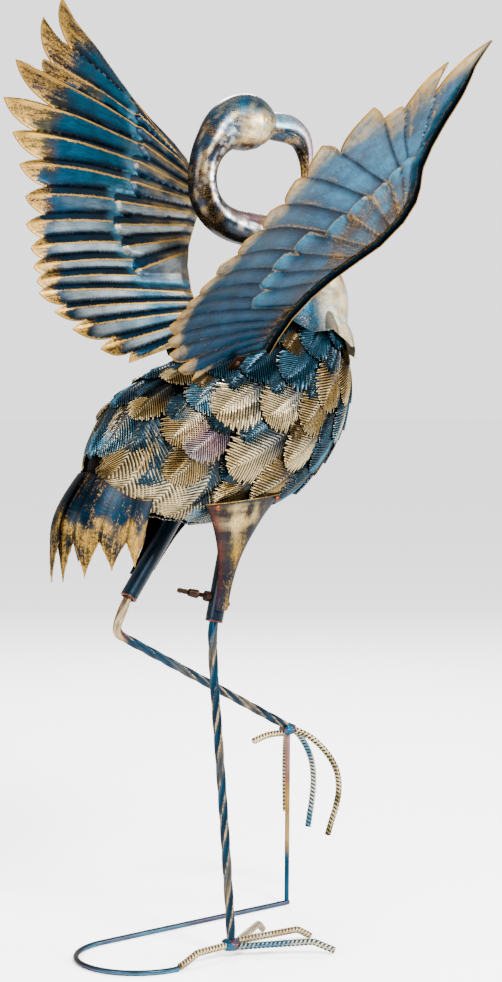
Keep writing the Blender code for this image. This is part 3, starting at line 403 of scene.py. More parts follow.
MATERIALS: dict[str, bpy.types.Material] = {}


def material_for(slot: str) -> bpy.types.Material:
    """Return the material of a slot, made on first use."""
    if slot not in MATERIALS:
        MATERIALS[slot] = FINISHES[slot].make()
    return MATERIALS[slot]


@dataclass
class Skin:
    """Points, faces and paint layers of one piece while it is put together."""

    points: list[Array] = field(default_factory=list)
    faces: list[Face] = field(default_factory=list)
    tints: list[Array] = field(default_factory=list)
    wears: list[Array] = field(default_factory=list)
    flows: list[Array] = field(default_factory=list)
    count: int = 0

    def add(self, points: Array, faces: Iterable[Sequence[int]], tint: Array,
            wear: Array | float, flow: Array) -> int:
        """Add points with their paint, and the faces between them.

        Args:
            points: places in metres, one row each.
            faces: corner numbers, counted within these points.
            tint: base paint for each point, with any painted light and shade.
            wear: share of dry brush, for each point or for all.
            flow: metres along and across the sheet for each point.

        Returns:
            The number of the first new point in the whole piece.
        """
        start = self.count
        self.points.append(np.asarray(points, dtype=float))
        self.tints.append(np.asarray(tint, dtype=float))
        self.wears.append(np.broadcast_to(np.asarray(wear, dtype=float), len(points)))
        self.flows.append(np.asarray(flow, dtype=float))
        self.faces += [tuple(int(corner) + start for corner in face) for face in faces]
        self.count += len(points)
        return start

    def piece(self, name: str, slot: str, nodes: Sequence[str], sharp: float = 38.0,
              body: str = "root") -> Piece:
        """Turn the skin into a named piece of the object.

        Args:
            name: the piece's name.
            slot: key of its finish.
            nodes: CAD nodes that it stands for.
            sharp: edges steeper than this stay sharp, in degrees.
            body: what it moves with.

        Returns:
            The new object.
        """
        mesh = bpy.data.meshes.new(name)
        points = np.clip(np.concatenate(self.points), np.array(FRAME_BOX[0]), np.array(FRAME_BOX[1]))
        mesh.from_pydata([tuple(point) for point in points], [], self.faces)
        tints = mesh.attributes.new("tint", "FLOAT_COLOR", "POINT")
        colours = np.ones((self.count, 4))
        colours[:, :3] = np.clip(np.concatenate(self.tints), 0.0, 1.0)
        tints.data.foreach_set("color", colours.ravel())
        wears = mesh.attributes.new("wear", "FLOAT", "POINT")
        wears.data.foreach_set("value", np.concatenate(self.wears))
        flows = mesh.attributes.new("flow", "FLOAT_VECTOR", "POINT")
        along = np.zeros((self.count, 3))
        along[:, :2] = np.concatenate(self.flows)
        flows.data.foreach_set("vector", along.ravel())
        shape = bmesh.new()
        shape.from_mesh(mesh)
        bmesh.ops.recalc_face_normals(shape, faces=shape.faces)
        shape.to_mesh(mesh)
        shape.free()
        mesh.materials.append(material_for(slot))
        item = linked(name, mesh)
        mesh.shade_smooth()
        mesh.set_sharp_from_angle(angle=math.radians(sharp))
        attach(item, body)
        if nodes:
            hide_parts(*nodes)
        LOG.info("%s: %d points", name, self.count)
        return item


def ring_faces(rings: int, sides: int, closed: bool = False) -> list[Face]:
    """Return the faces between rings of points numbered in order.

    Args:
        rings: how many rings.
        sides: points in each ring.
        closed: whether the last ring joins the first.

    Returns:
        Quads as corner numbers.
    """
    faces = []
    for row in range(rings if closed else rings - 1):
        following = (row + 1) % rings
        for k in range(sides):
            n = (k + 1) % sides
            faces.append((row * sides + k, row * sides + n, following * sides + n, following * sides + k))
    return faces


def capped_faces(rings: int, sides: int) -> list[Face]:
    """Return the faces of a closed tube, whose two hubs come after its rings.

    Args:
        rings: how many rings there are.
        sides: points in each ring.

    Returns:
        Corner numbers of each face.
    """
    total, last = rings * sides, (rings - 1) * sides
    faces = ring_faces(rings, sides)
    for k in range(sides):
        n = (k + 1) % sides
        faces += [(n, k, total), (last + k, last + n, total + 1)]
    return faces


def with_hubs(rings: Sequence[Array]) -> Array:
    """Return the points of rings, then the middles of the first and the last."""
    return np.concatenate([*rings, rings[0].mean(axis=0)[None, :], rings[-1].mean(axis=0)[None, :]])


def grid_faces(rows: int, columns: int) -> list[Face]:
    """Return the quads of a grid of points numbered row by row."""
    return [(row * columns + k, row * columns + k + 1, (row + 1) * columns + k + 1, (row + 1) * columns + k)
            for row in range(rows - 1) for k in range(columns - 1)]


def shell_faces(rows: int, columns: int, front: list[Face]) -> list[Face]:
    """Return the faces of a closed plate whose back grid follows its front grid.

    Args:
        rows: rows of each grid.
        columns: columns of each grid.
        front: the faces of the front grid.

    Returns:
        Front, back and rim faces.
    """
    total = rows * columns
    edge = [(0, k) for k in range(columns)] + [(row, columns - 1) for row in range(1, rows)]
    edge += [(rows - 1, k) for k in range(columns - 2, -1, -1)]
    edge += [(row, 0) for row in range(rows - 2, 0, -1)]
    rim = [row * columns + k for row, k in edge]
    faces = list(front) + [tuple(corner + total for corner in reversed(face)) for face in front]
    for here, there in zip(rim, rim[1:] + rim[:1]):
        faces.append((there, here, here + total, there + total))
    return faces


def surface_normals(grid: Array) -> Array:
    """Return unit normals over a grid of points with rows, columns and places."""
    along = np.gradient(grid, axis=0)
    across = np.gradient(grid, axis=1)
    normal = np.cross(along, across)
    return normal / np.maximum(np.linalg.norm(normal, axis=2, keepdims=True), 1e-12)


def add_plate(skin: Skin, grid: Array, thickness: float, front: tuple[Array, Array],
              back: tuple[Array, Array], flow: Array) -> None:
    """Add a closed plate from a grid of points.

    Args:
        skin: the piece that it belongs to.
        grid: places with rows and columns, the outer face.
        thickness: metres of sheet laid behind the outer face, along its normals.
        front: tint and wear of the outer face.
        back: tint and wear of the inner face.
        flow: metres along and across for each point.
    """
    rows, columns = grid.shape[:2]
    normals = surface_normals(grid)
    outer = grid.reshape(-1, 3)
    inner = (grid - normals * thickness).reshape(-1, 3)
    points = np.concatenate([outer, inner])
    tint = np.concatenate([front[0], back[0]])
    wear = np.concatenate([front[1], back[1]])
    faces = shell_faces(rows, columns, grid_faces(rows, columns))
    skin.add(points, faces, tint, wear, np.concatenate([flow, flow]))


def smooth_path(points: Sequence[Vector], step: float) -> list[Vector]:
    """Return points about step apart on a smooth curve through the given points.

    Args:
        points: places that the curve passes through.
        step: metres between the new points.

    Returns:
        The points of the curve.
    """
    path = [points[0].copy()]
    last = len(points) - 1
    for i in range(last):
        before, start = points[max(i - 1, 0)], points[i]
        end, after = points[i + 1], points[min(i + 2, last)]
        pieces = max(1, round((end - start).length / step))
        for k in range(1, pieces + 1):
            t = k / pieces
            point = start * (2 * t**3 - 3 * t**2 + 1) + end * (3 * t**2 - 2 * t**3)
            point += (end - before) * 0.5 * (t**3 - 2 * t**2 + t) + (after - start) * 0.5 * (t**3 - t**2)
            path.append(point)
    return path


def bent_path(points: Sequence[Vector], bend_radius: float, step: float) -> list[Vector]:
    """Return points about step apart on straight runs whose corners are bent on a radius.

    Args:
        points: the ends and the corners.
        bend_radius: metres.
        step: metres between the new points.

    Returns:
        The points of the path.
    """
    corners = [points[0]]
    for before, corner, after in zip(points, points[1:], points[2:]):
        inward = (before - corner).normalized()
        outward = (after - corner).normalized()
        reach = bend_radius * math.tan((math.pi - inward.angle(outward)) / 2)
        start, end = corner + inward * reach, corner + outward * reach
        pieces = max(4, round(reach * 2 / step))
        corners += [start * (1 - t)**2 + corner * (2 * t * (1 - t)) + end * t**2
                    for t in (k / pieces for k in range(pieces + 1))]
    corners.append(points[-1])
    path = [corners[0]]
    for start, end in zip(corners, corners[1:]):
        pieces = max(1, round((end - start).length / step))
        path += [start.lerp(end, k / pieces) for k in range(1, pieces + 1)]
    return path


def frames_along(path: Sequence[Vector]) -> list[Directions]:
    """Return tangent, side and up directions that don't twist along a path.

    Args:
        path: its points.

    Returns:
        Three directions for each point.
    """
    frames = []
    side: Optional[Vector] = None
    for i in range(len(path)):
        tangent = (path[min(i + 1, len(path) - 1)] - path[max(i - 1, 0)]).normalized()
        hint = side
        if hint is None:
            hint = Vector((1, 0, 0)) if abs(tangent.x) < 0.8 else Vector((0, 1, 0))
        side = (hint - tangent * hint.dot(tangent)).normalized()
        frames.append((tangent, side, tangent.cross(side)))
    return frames


@dataclass
class Rod:
    """A rod along a path, whose section may turn and swell along it."""

    path: list[Vector]
    radius: float
    sides: int = 24
    reach: Optional[Callable[[Array, Array], Array]] = None
    paint: Optional[Callable[[Array, Array, Array], Layers]] = None
    end_round: float = 0.35

    def lay(self, skin: Skin) -> None:
        """Add the closed rod to a piece.

        Args:
            skin: the piece.
        """
        stations, places, frames = self.stations()
        angle = turns(self.sides)
        run = np.repeat(np.array(stations)[:, None], self.sides, axis=1)
        turn = np.repeat(angle[None, :], len(stations), axis=0)
        reach = self.reach(run, turn) if self.reach else np.full(run.shape, self.radius)
        shrink = np.array([scale for _, scale in places])[:, None]
        centre = np.array([tuple(place) for place, _ in places])[:, None, :]
        side = np.array([tuple(frame_[1]) for frame_ in frames])[:, None, :]
        up = np.array([tuple(frame_[2]) for frame_ in frames])[:, None, :]
        offset = side * np.cos(turn)[..., None] + up * np.sin(turn)[..., None]
        points = (centre + offset * (reach * shrink)[..., None]).reshape(-1, 3)
        hubs = np.array([tuple(places[0][0]), tuple(places[-1][0])])
        points = np.concatenate([points, hubs])
        faces = capped_faces(len(places), self.sides)
        run_flat = np.append(run.ravel(), [stations[0], stations[-1]])
        turn_flat = np.append(turn.ravel(), [0.0, 0.0])
        depth = np.append(1 - reach.ravel() / self.radius, [0.0, 0.0])
        tint, wear = self.paint(run_flat, turn_flat, depth)
        skin.add(points, faces, tint, wear, np.stack([run_flat, turn_flat * self.radius], axis=1))

    def stations(self) -> tuple[list[float], list[tuple[Vector, float]], list[Directions]]:
        """Return run, place with section scale, and directions of each ring, ends rounded.

        Returns:
            Three lists with one entry for each ring.
        """
        frames = frames_along(self.path)
        run = [0.0]
        for before, after in zip(self.path, self.path[1:]):
            run.append(run[-1] + (after - before).length)
        edge = self.radius * self.end_round
        start, end = self.path[0], self.path[-1]
        places = [(start, 1 - self.end_round), (start + frames[0][0] * edge * 0.3, 1 - self.end_round * 0.3)]
        places += [(start + frames[0][0] * edge, 1.0)]
        kept = [i for i in range(1, len(self.path) - 1) if edge * 1.2 < run[i] < run[-1] - edge * 1.2]
        places += [(self.path[i], 1.0) for i in kept]
        places += [(end - frames[-1][0] * edge, 1.0)]
        places += [(end - frames[-1][0] * edge * 0.3, 1 - self.end_round * 0.3), (end, 1 - self.end_round)]
        stations = [0.0, edge * 0.3, edge] + [run[i] for i in kept]
        stations += [run[-1] - edge, run[-1] - edge * 0.3, run[-1]]
        turned = [frames[0]] * 3 + [frames[i] for i in kept] + [frames[-1]] * 3
        return stations, places, turned


def cross2(first: Array, second: Array) -> Array:
    """Return the flat cross product of rows."""
    return first[..., 0] * second[..., 1] - first[..., 1] * second[..., 0]


def line_distance(points: Array, start: Array, end: Array) -> Array:
    """Return signed distances of flat points from an endless line, positive to its left."""
    direction = (end - start) / np.linalg.norm(end - start)
    return cross2(np.broadcast_to(direction, points.shape), points - start)


def chain_distance(points: Array, chain: Array) -> Array:
    """Return distances of flat points from a chain of segments.

    Args:
        points: flat points.
        chain: corners of the chain in order.

    Returns:
        One distance for each point.
    """
    nearest = np.full(len(points), 1e9)
    for start, end in zip(chain, chain[1:]):
        along = end - start
        share = np.clip((points - start) @ along / max(along @ along, 1e-9), 0.0, 1.0)
        nearest = np.minimum(nearest, np.linalg.norm(points - start - share[:, None] * along, axis=1))
    return nearest


def inside_chain(points: Array, chain: Array) -> Array:
    """Tell which flat points lie inside a closed chain.

    Args:
        points: flat points.
        chain: corners of the chain in order.

    Returns:
        True for each point inside.
    """
    inside = np.zeros(len(points), dtype=bool)
    for start, end in zip(chain, np.roll(chain, -1, axis=0)):
        spans = (start[1] > points[:, 1]) != (end[1] > points[:, 1])
        rise = end[1] - start[1] if end[1] != start[1] else 1e-9
        crossing = start[0] + (end[0] - start[0]) * (points[:, 1] - start[1]) / rise
        inside ^= spans & (points[:, 0] < crossing)
    return inside


def flat_chain(chain: Array, step: float) -> Array:
    """Return points about step apart along a chain.

    Args:
        chain: its corners.
        step: distance between the new points.

    Returns:
        The points, corners included.
    """
    points = [chain[0]]
    for start, end in zip(chain, chain[1:]):
        pieces = max(1, round(float(np.linalg.norm(end - start)) / step))
        points += [start + (end - start) * k / pieces for k in range(1, pieces + 1)]
    return np.array(points)


@dataclass(frozen=True)
class Reading:
    """What the wing pattern says of flat points, one value of each kind for each point.

    Lanes are feathers: index is the flight feather, and row the covert. Across runs from
    -1 to 1 over a feather, along is the distance from its tip, behind the distance to the
    groove behind it, and a room the distance to an edge.
    """

    points: Array
    index: Array
    across: Array
    along: Array
    behind: Array
    covert: Array
    row: Array
    row_across: Array
    row_along: Array
    row_behind: Array
    front_room: Array
    edge_room: Array
    covert_room: Array


@dataclass
class WingPattern:
    """The stamping that both wings share, drawn flat in millimetres: u runs out and v back."""

    tips: tuple[Span, ...] = (
        (262, -115), (231, -77), (175, -58), (170, -18), (120, 15), (77, 17),
        (38, 21), (-1, 26), (-34, 36), (-63, 39), (-85, 43), (-102, 44),
        (-116, 46), (-137, 33), (-157, 16), (-180, -14), (-197, -48),
    )
    notches: tuple[Span, ...] = (
        (190, -99), (170, -67), (155, -51), (104, -39), (76, -8), (41, -5),
        (8, 1), (-25, 13), (-52, 24), (-76, 31), (-94, 36), (-110, 39),
        (-131, 20), (-149, -1), (-169, -33), (-186, -52),
    )
    roots: tuple[Span, ...] = (
        (96, -178), (86, -178), (78, -177), (66, -176), (50, -174), (30, -168),
        (6, -158), (-18, -150), (-42, -142), (-64, -138), (-84, -136), (-104, -136),
        (-122, -137), (-134, -139), (-146, -141), (-157, -144), (-167, -147),
    )
    front_edge: tuple[Span, ...] = (
        (262, -115), (230, -121), (198, -135), (159, -148), (126, -161), (97, -177),
        (70, -199), (50, -211), (22, -216), (-12, -208), (-41, -186), (-62, -171),
        (-88, -159), (-118, -153), (-148, -155), (-173, -160),
    )
    covert_tips: tuple[Span, ...] = (
        (119, -163), (103, -152), (86, -146), (64, -141), (41, -123),
        (12, -110), (-14, -78), (-43, -67), (-70, -69), (-98, -77),
    )
    # Shares of the front edge: the coverts' outline starts, their first and last root, its end
    covert_span: Ring = (0.30, 0.43, 0.80, 0.86)
    covert_root_inset: float = 12.0
    covert_spread: float = 0.42
    covert_lift: float = 1.5
    ridge: float = 3.4
    camber_depth: float = 18.0
    camber_reach: float = 95.0
    outer_camber: float = 0.35
    outer_span: Span = (90.0, 220.0)
    trailing_bulge: float = 0.13
    leading_bulge: float = 0.06
    overlap: float = 1.5
    pillow_height: float = 2.2
    grid_step: float = 2.3

    def __post_init__(self) -> None:
        """Work out the chains that the surface is cut along."""
        self.tip = np.array(self.tips, dtype=float)
        self.notch = np.array(self.notches, dtype=float)
        self.root = np.array(self.roots, dtype=float)
        self.front = np.array(self.front_edge, dtype=float)
        self.covert = np.array(self.covert_tips, dtype=float)
        self.groove_end = (self.root[:-1] + self.root[1:]) / 2
        self.feathered = self.feather_outline()
        self.outline = np.concatenate([self.feathered, self.front[:0:-1]])
        self.covert_edge = self.covert_outline()
        front_part = [self.along_front(blend(self.covert_span[3], self.covert_span[0], k / 12), 0.5)
                      for k in range(13)]
        self.covert_field = np.concatenate([self.covert_edge, front_part])
        self.covert_root = np.array([self.root_of(i) for i in range(len(self.covert))])

    def feather_outline(self) -> Array:
        """Return the scalloped edge from the first tip to the last.

        Returns:
            Flat points in order.
        """
        edge = [self.tip[0]]
        for i, notch in enumerate(self.notch):
            edge += self.feather_side(i, notch, self.trailing_bulge, np.linspace(0, 1, 12)[1:])
            edge += self.feather_side(i + 1, notch, self.leading_bulge, np.linspace(1, 0, 8)[1:])
        return np.array(edge)

    def feather_side(self, i: int, notch: Array, bulge: float, shares: Iterable[float]) -> list[Array]:
        """Return points of a feather's bowed side, rounded at the tip.

        Args:
            i: the feather.
            notch: where the side ends.
            bulge: how far it bows, as a share of its length.
            shares: where the points are, from the tip to the notch.

        Returns:
            Flat points.
        """
        tip = self.tip[i]
        chord = notch - tip
        outward = np.array([-chord[1], chord[0]])
        if outward @ (self.root[i] - tip) > 0:
            outward = -outward
        return [tip + chord * s + outward * bulge * 4 * s * (1 - s) for s in shares]

    def along_front(self, share: float, inset: float) -> Array:
        """Return a point a little inside the front edge, at a share of its length.

        Args:
            share: 0 at the outer end and 1 at the inner end.
            inset: millimetres inside the edge.

        Returns:
            A flat point.
        """
        spans = np.linalg.norm(np.diff(self.front, axis=0), axis=1)
        target = share * spans.sum()
        k = int(np.searchsorted(np.cumsum(spans), target))
        k = min(k, len(spans) - 1)
        before = spans[:k].sum()
        direction = (self.front[k + 1] - self.front[k]) / spans[k]
        inward = np.array([-direction[1], direction[0]])
        if inward[1] < 0:
            inward = -inward
        return self.front[k] + direction * (target - before) + inward * inset

    def root_of(self, i: int) -> Array:
        """Return where a covert's ridge starts at the front edge."""
        share = i / (len(self.covert) - 1)
        place = blend(self.covert_span[1], self.covert_span[2], share)
        return self.along_front(place, self.covert_root_inset)

    def covert_outline(self) -> Array:
        """Return the scalloped inner edge of the coverts.

        Returns:
            Flat points in order.
        """
        edge = [self.along_front(self.covert_span[0], 7.0)]
        last = len(self.covert) - 1
        for i, tip in enumerate(self.covert):
            axis = self.root_of(i) - tip
            axis /= np.linalg.norm(axis)
            side = np.array([-axis[1], axis[0]])
            ahead, behind = self.covert[min(i + 1, last)], self.covert[max(i - 1, 0)]
            neighbours = [self.covert[k] for k in (i - 1, i + 1) if 0 <= k <= last]
            width = min(np.linalg.norm(other - tip) for other in neighbours) * self.covert_spread
            if side @ (ahead - behind) < 0:
                side = -side
            for turn in np.linspace(-90, 90, 9):
                angle = math.radians(turn)
                rounded = axis * 0.8 * (1 - math.cos(angle)) + side * math.sin(angle)
                edge.append(tip + rounded * width)
            if i < last:
                edge.append((tip + ahead) / 2 + axis * width * 1.7)
        edge.append(self.along_front(self.covert_span[3], 7.0))
        return np.array(edge)

    def camber(self, points: Array) -> Array:
        """Return how far the sheet bows to the upper side."""
        inset = np.minimum(1.0, chain_distance(points, self.tip) / self.camber_reach)
        low, high = self.outer_span
        slack = 1.0 + (self.outer_camber - 1.0) * np.clip((points[:, 0] - low) / (high - low), 0.0, 1.0)
        return self.camber_depth * slack * np.sin(inset * math.pi / 2)

    def lanes(self, points: Array, tips: Array, roots: Array, starts: Array,
              ends: Array) -> tuple[Array, Array, Array, Array]:
        """Sort points into feathers.

        Args:
            points: flat points.
            tips: the feathers' tips.
            roots: the feathers' inner ends.
            starts: outer ends of the grooves between them.
            ends: inner ends of those grooves.

        Returns:
            Feather number, place across it from -1 to 1, millimetres from its tip along
            it, and millimetres to the groove behind it.
        """
        index = np.zeros(len(points), dtype=int)
        sides = []
        for start, end in zip(starts, ends):
            side = line_distance(points, start, end)
            if line_distance(tips[-1][None, :], start, end)[0] < 0:
                side = -side
            sides.append(side)
            index += side > 0
        sides = np.array(sides)
        rows = np.arange(len(points))
        before = np.where(index > 0, sides[np.maximum(index - 1, 0), rows], 14.0)
        behind = np.where(index < len(starts), -sides[np.minimum(index, len(starts) - 1), rows], 14.0)
        start, end = tips[index], roots[index]
        axis = (end - start) / np.linalg.norm(end - start, axis=1, keepdims=True)
        offset = cross2(axis, points - start)
        toward = np.sign(cross2(axis, starts[np.minimum(index, len(starts) - 1)] - start))
        toward = np.where(index < len(starts), toward,
                          -np.sign(cross2(axis, starts[np.maximum(index - 1, 0)] - start)))
        offset = offset * toward
        room = np.where(offset > 0, behind, before)
        across = offset / (np.abs(offset) + np.maximum(room, 0.4))
        along = np.sum((points - start) * axis, axis=1)
        return index, across, along, behind

    def read(self, points: Array) -> Reading:
        """Return everything that the relief and the paint need to know about flat points.

        Args:
            points: flat points.

        Returns:
            The reading of all points.
        """
        index, across, along, behind = self.lanes(points, self.tip, self.root, self.notch, self.groove_end)
        covert_starts = (self.covert[:-1] + self.covert[1:]) / 2
        covert_ends = (self.covert_root[:-1] + self.covert_root[1:]) / 2
        row, row_across, row_along, row_behind = self.lanes(points, self.covert, self.covert_root,
                                                            covert_starts, covert_ends)
        covert_room = chain_distance(points, self.covert_edge)
        return Reading(
            points, index, across, along, behind,
            covert=inside_chain(points, self.covert_field) | (covert_room < 0.05),
            row=row, row_across=row_across, row_along=row_along, row_behind=row_behind,
            front_room=chain_distance(points, self.front),
            edge_room=chain_distance(points, self.outline),
            covert_room=covert_room,
        )

    def relief(self, read: Reading) -> Array:
        """Return the height of the stamping above the bowed sheet.

        Args:
            read: what the pattern says of the points.

        Returns:
            Millimetres for each point.
        """
        flight = self.lane_height(read.across, read.behind)
        flight = flight * (0.25 + 0.75 * ramp(read.along, 0.0, 26.0)) * self.ridge
        flight = flight * (0.3 + 0.7 * ramp(read.edge_room, 0.0, 5.0))
        flight = flight * ramp(read.front_room, 2.0, 15.0)
        coverts = self.lane_height(read.row_across, read.row_behind) * self.ridge * 0.85
        coverts = coverts * ramp(read.front_room, 4.0, 18.0)
        lift = 2 * self.covert_lift * ramp(read.front_room, 0.0, 16.0)
        raised = ramp(read.covert_room, 0.0, 2.6)
        coverts = coverts * ramp(read.covert_room, 0.0, 6.0) + lift
        return np.where(read.covert, flight * (1 - raised) + coverts * raised, flight)

    def pillows(self, read: Reading) -> Array:
        """Return the height of the underside's rounded feathers, each lapped over the next.

        Args:
            read: what the pattern says of the points.

        Returns:
            Millimetres for each point.
        """
        room = ramp(read.edge_room, 0.2, 6.0) * ramp(read.front_room, 3.0, 14.0)
        flight = self.pillow(read.across, read.behind) * room
        coverts = self.pillow(read.row_across, read.row_behind) * ramp(read.covert_room, 0.0, 8.0)
        coverts = (coverts + self.covert_lift) * ramp(read.front_room, 3.0, 16.0)
        raised = ramp(read.covert_room, 0.0, 2.4)
        height = np.where(read.covert, flight * (1 - raised) + coverts * raised, flight)
        return height * self.pillow_height

    def pillow(self, across: Array, behind: Array) -> Array:
        """Return a feather's rounded section, from 0 at its grooves to about 1."""
        swell = np.clip(1 - np.abs(across)**2.2, 0, 1)**0.7
        lapped = 0.55 + 0.45 * swell
        return np.where(across > 0, lapped * ramp(behind, 0.0, self.overlap), swell)

    def lane_height(self, across: Array, behind: Array) -> Array:
        """Return a feather's section: a crest that falls to the groove and laps over the next."""
        falling = (1 - np.abs(across))**0.85
        lapped = (0.42 + 0.58 * falling) * ramp(behind, 0.0, self.overlap)
        return np.where(across > 0, lapped, falling)

    def cut_lines(self) -> list[Array]:
        """Return the chains that the surface has edges along, apart from its outline.

        Returns:
            Chains of flat points.
        """
        chains = []
        for tip, root in zip(self.tip, self.root):
            chains.append(flat_chain(np.array([tip + (root - tip) * 0.05, root]), self.grid_step))
        for start, end in zip(self.notch, self.groove_end):
            line = np.array([start + (end - start) * 0.03, end])
            chains.append(flat_chain(line, self.grid_step))
        return [self.outside_coverts(chain) for chain in chains] + self.covert_chains()

    def outside_coverts(self, chain: Array) -> Array:
        """Return the part of a chain that stops short of the coverts."""
        stop = inside_chain(chain, self.covert_field) | (chain_distance(chain, self.covert_edge) < 1.5)
        return chain[:int(np.argmax(stop))] if stop.any() else chain

    def covert_chains(self) -> list[Array]:
        """Return the chains along the coverts' edge and ridges."""
        chains = [flat_chain(self.covert_edge, self.grid_step)]
        for tip, root in zip(self.covert, self.covert_root):
            chains.append(flat_chain(np.array([tip + (root - tip) * 0.08, root]), self.grid_step))
        return chains

    def mesh(self) -> tuple[Array, list[Face]]:
        """Return the flat points and triangles of the whole stamping.

        Returns:
            Flat points, and the corner numbers of each triangle.
        """
        outline = flat_chain(np.concatenate([self.outline, self.outline[:1]]), self.grid_step)[:-1]
        chains = [chain for chain in self.cut_lines() if len(chain) > 1]
        points = list(outline)
        edges = [(k, (k + 1) % len(outline)) for k in range(len(outline))]
        for chain in chains:
            first = len(points)
            points += list(chain)
            edges += [(first + k, first + k + 1) for k in range(len(chain) - 1)]
        low, high = outline.min(axis=0), outline.max(axis=0)
        rows = np.arange(low[1], high[1], self.grid_step * 0.866)
        grid = []
        for k, v in enumerate(rows):
            u = np.arange(low[0] + (k % 2) * self.grid_step / 2, high[0], self.grid_step)
            grid.append(np.stack([u, np.full(len(u), v)], axis=1))
        grid = np.concatenate(grid)
        grid = grid[inside_chain(grid, outline)]
        near = chain_distance(grid, np.concatenate([outline, outline[:1]])) < self.grid_step * 0.55
        for chain in chains:
            near |= chain_distance(grid, chain) < self.grid_step * 0.55
        points += list(grid[~near])
        vectors = [Vector(point) for point in points]
        flat = geometry.delaunay_2d_cdt(vectors, edges, [], 0, 0.02)
        placed = np.array([tuple(point) for point in flat[0]])
        centres = np.array([placed[list(face)].mean(axis=0) for face in flat[2]])
        kept = inside_chain(centres, outline)
        return placed, [tuple(face) for face, keep in zip(flat[2], kept) if keep]


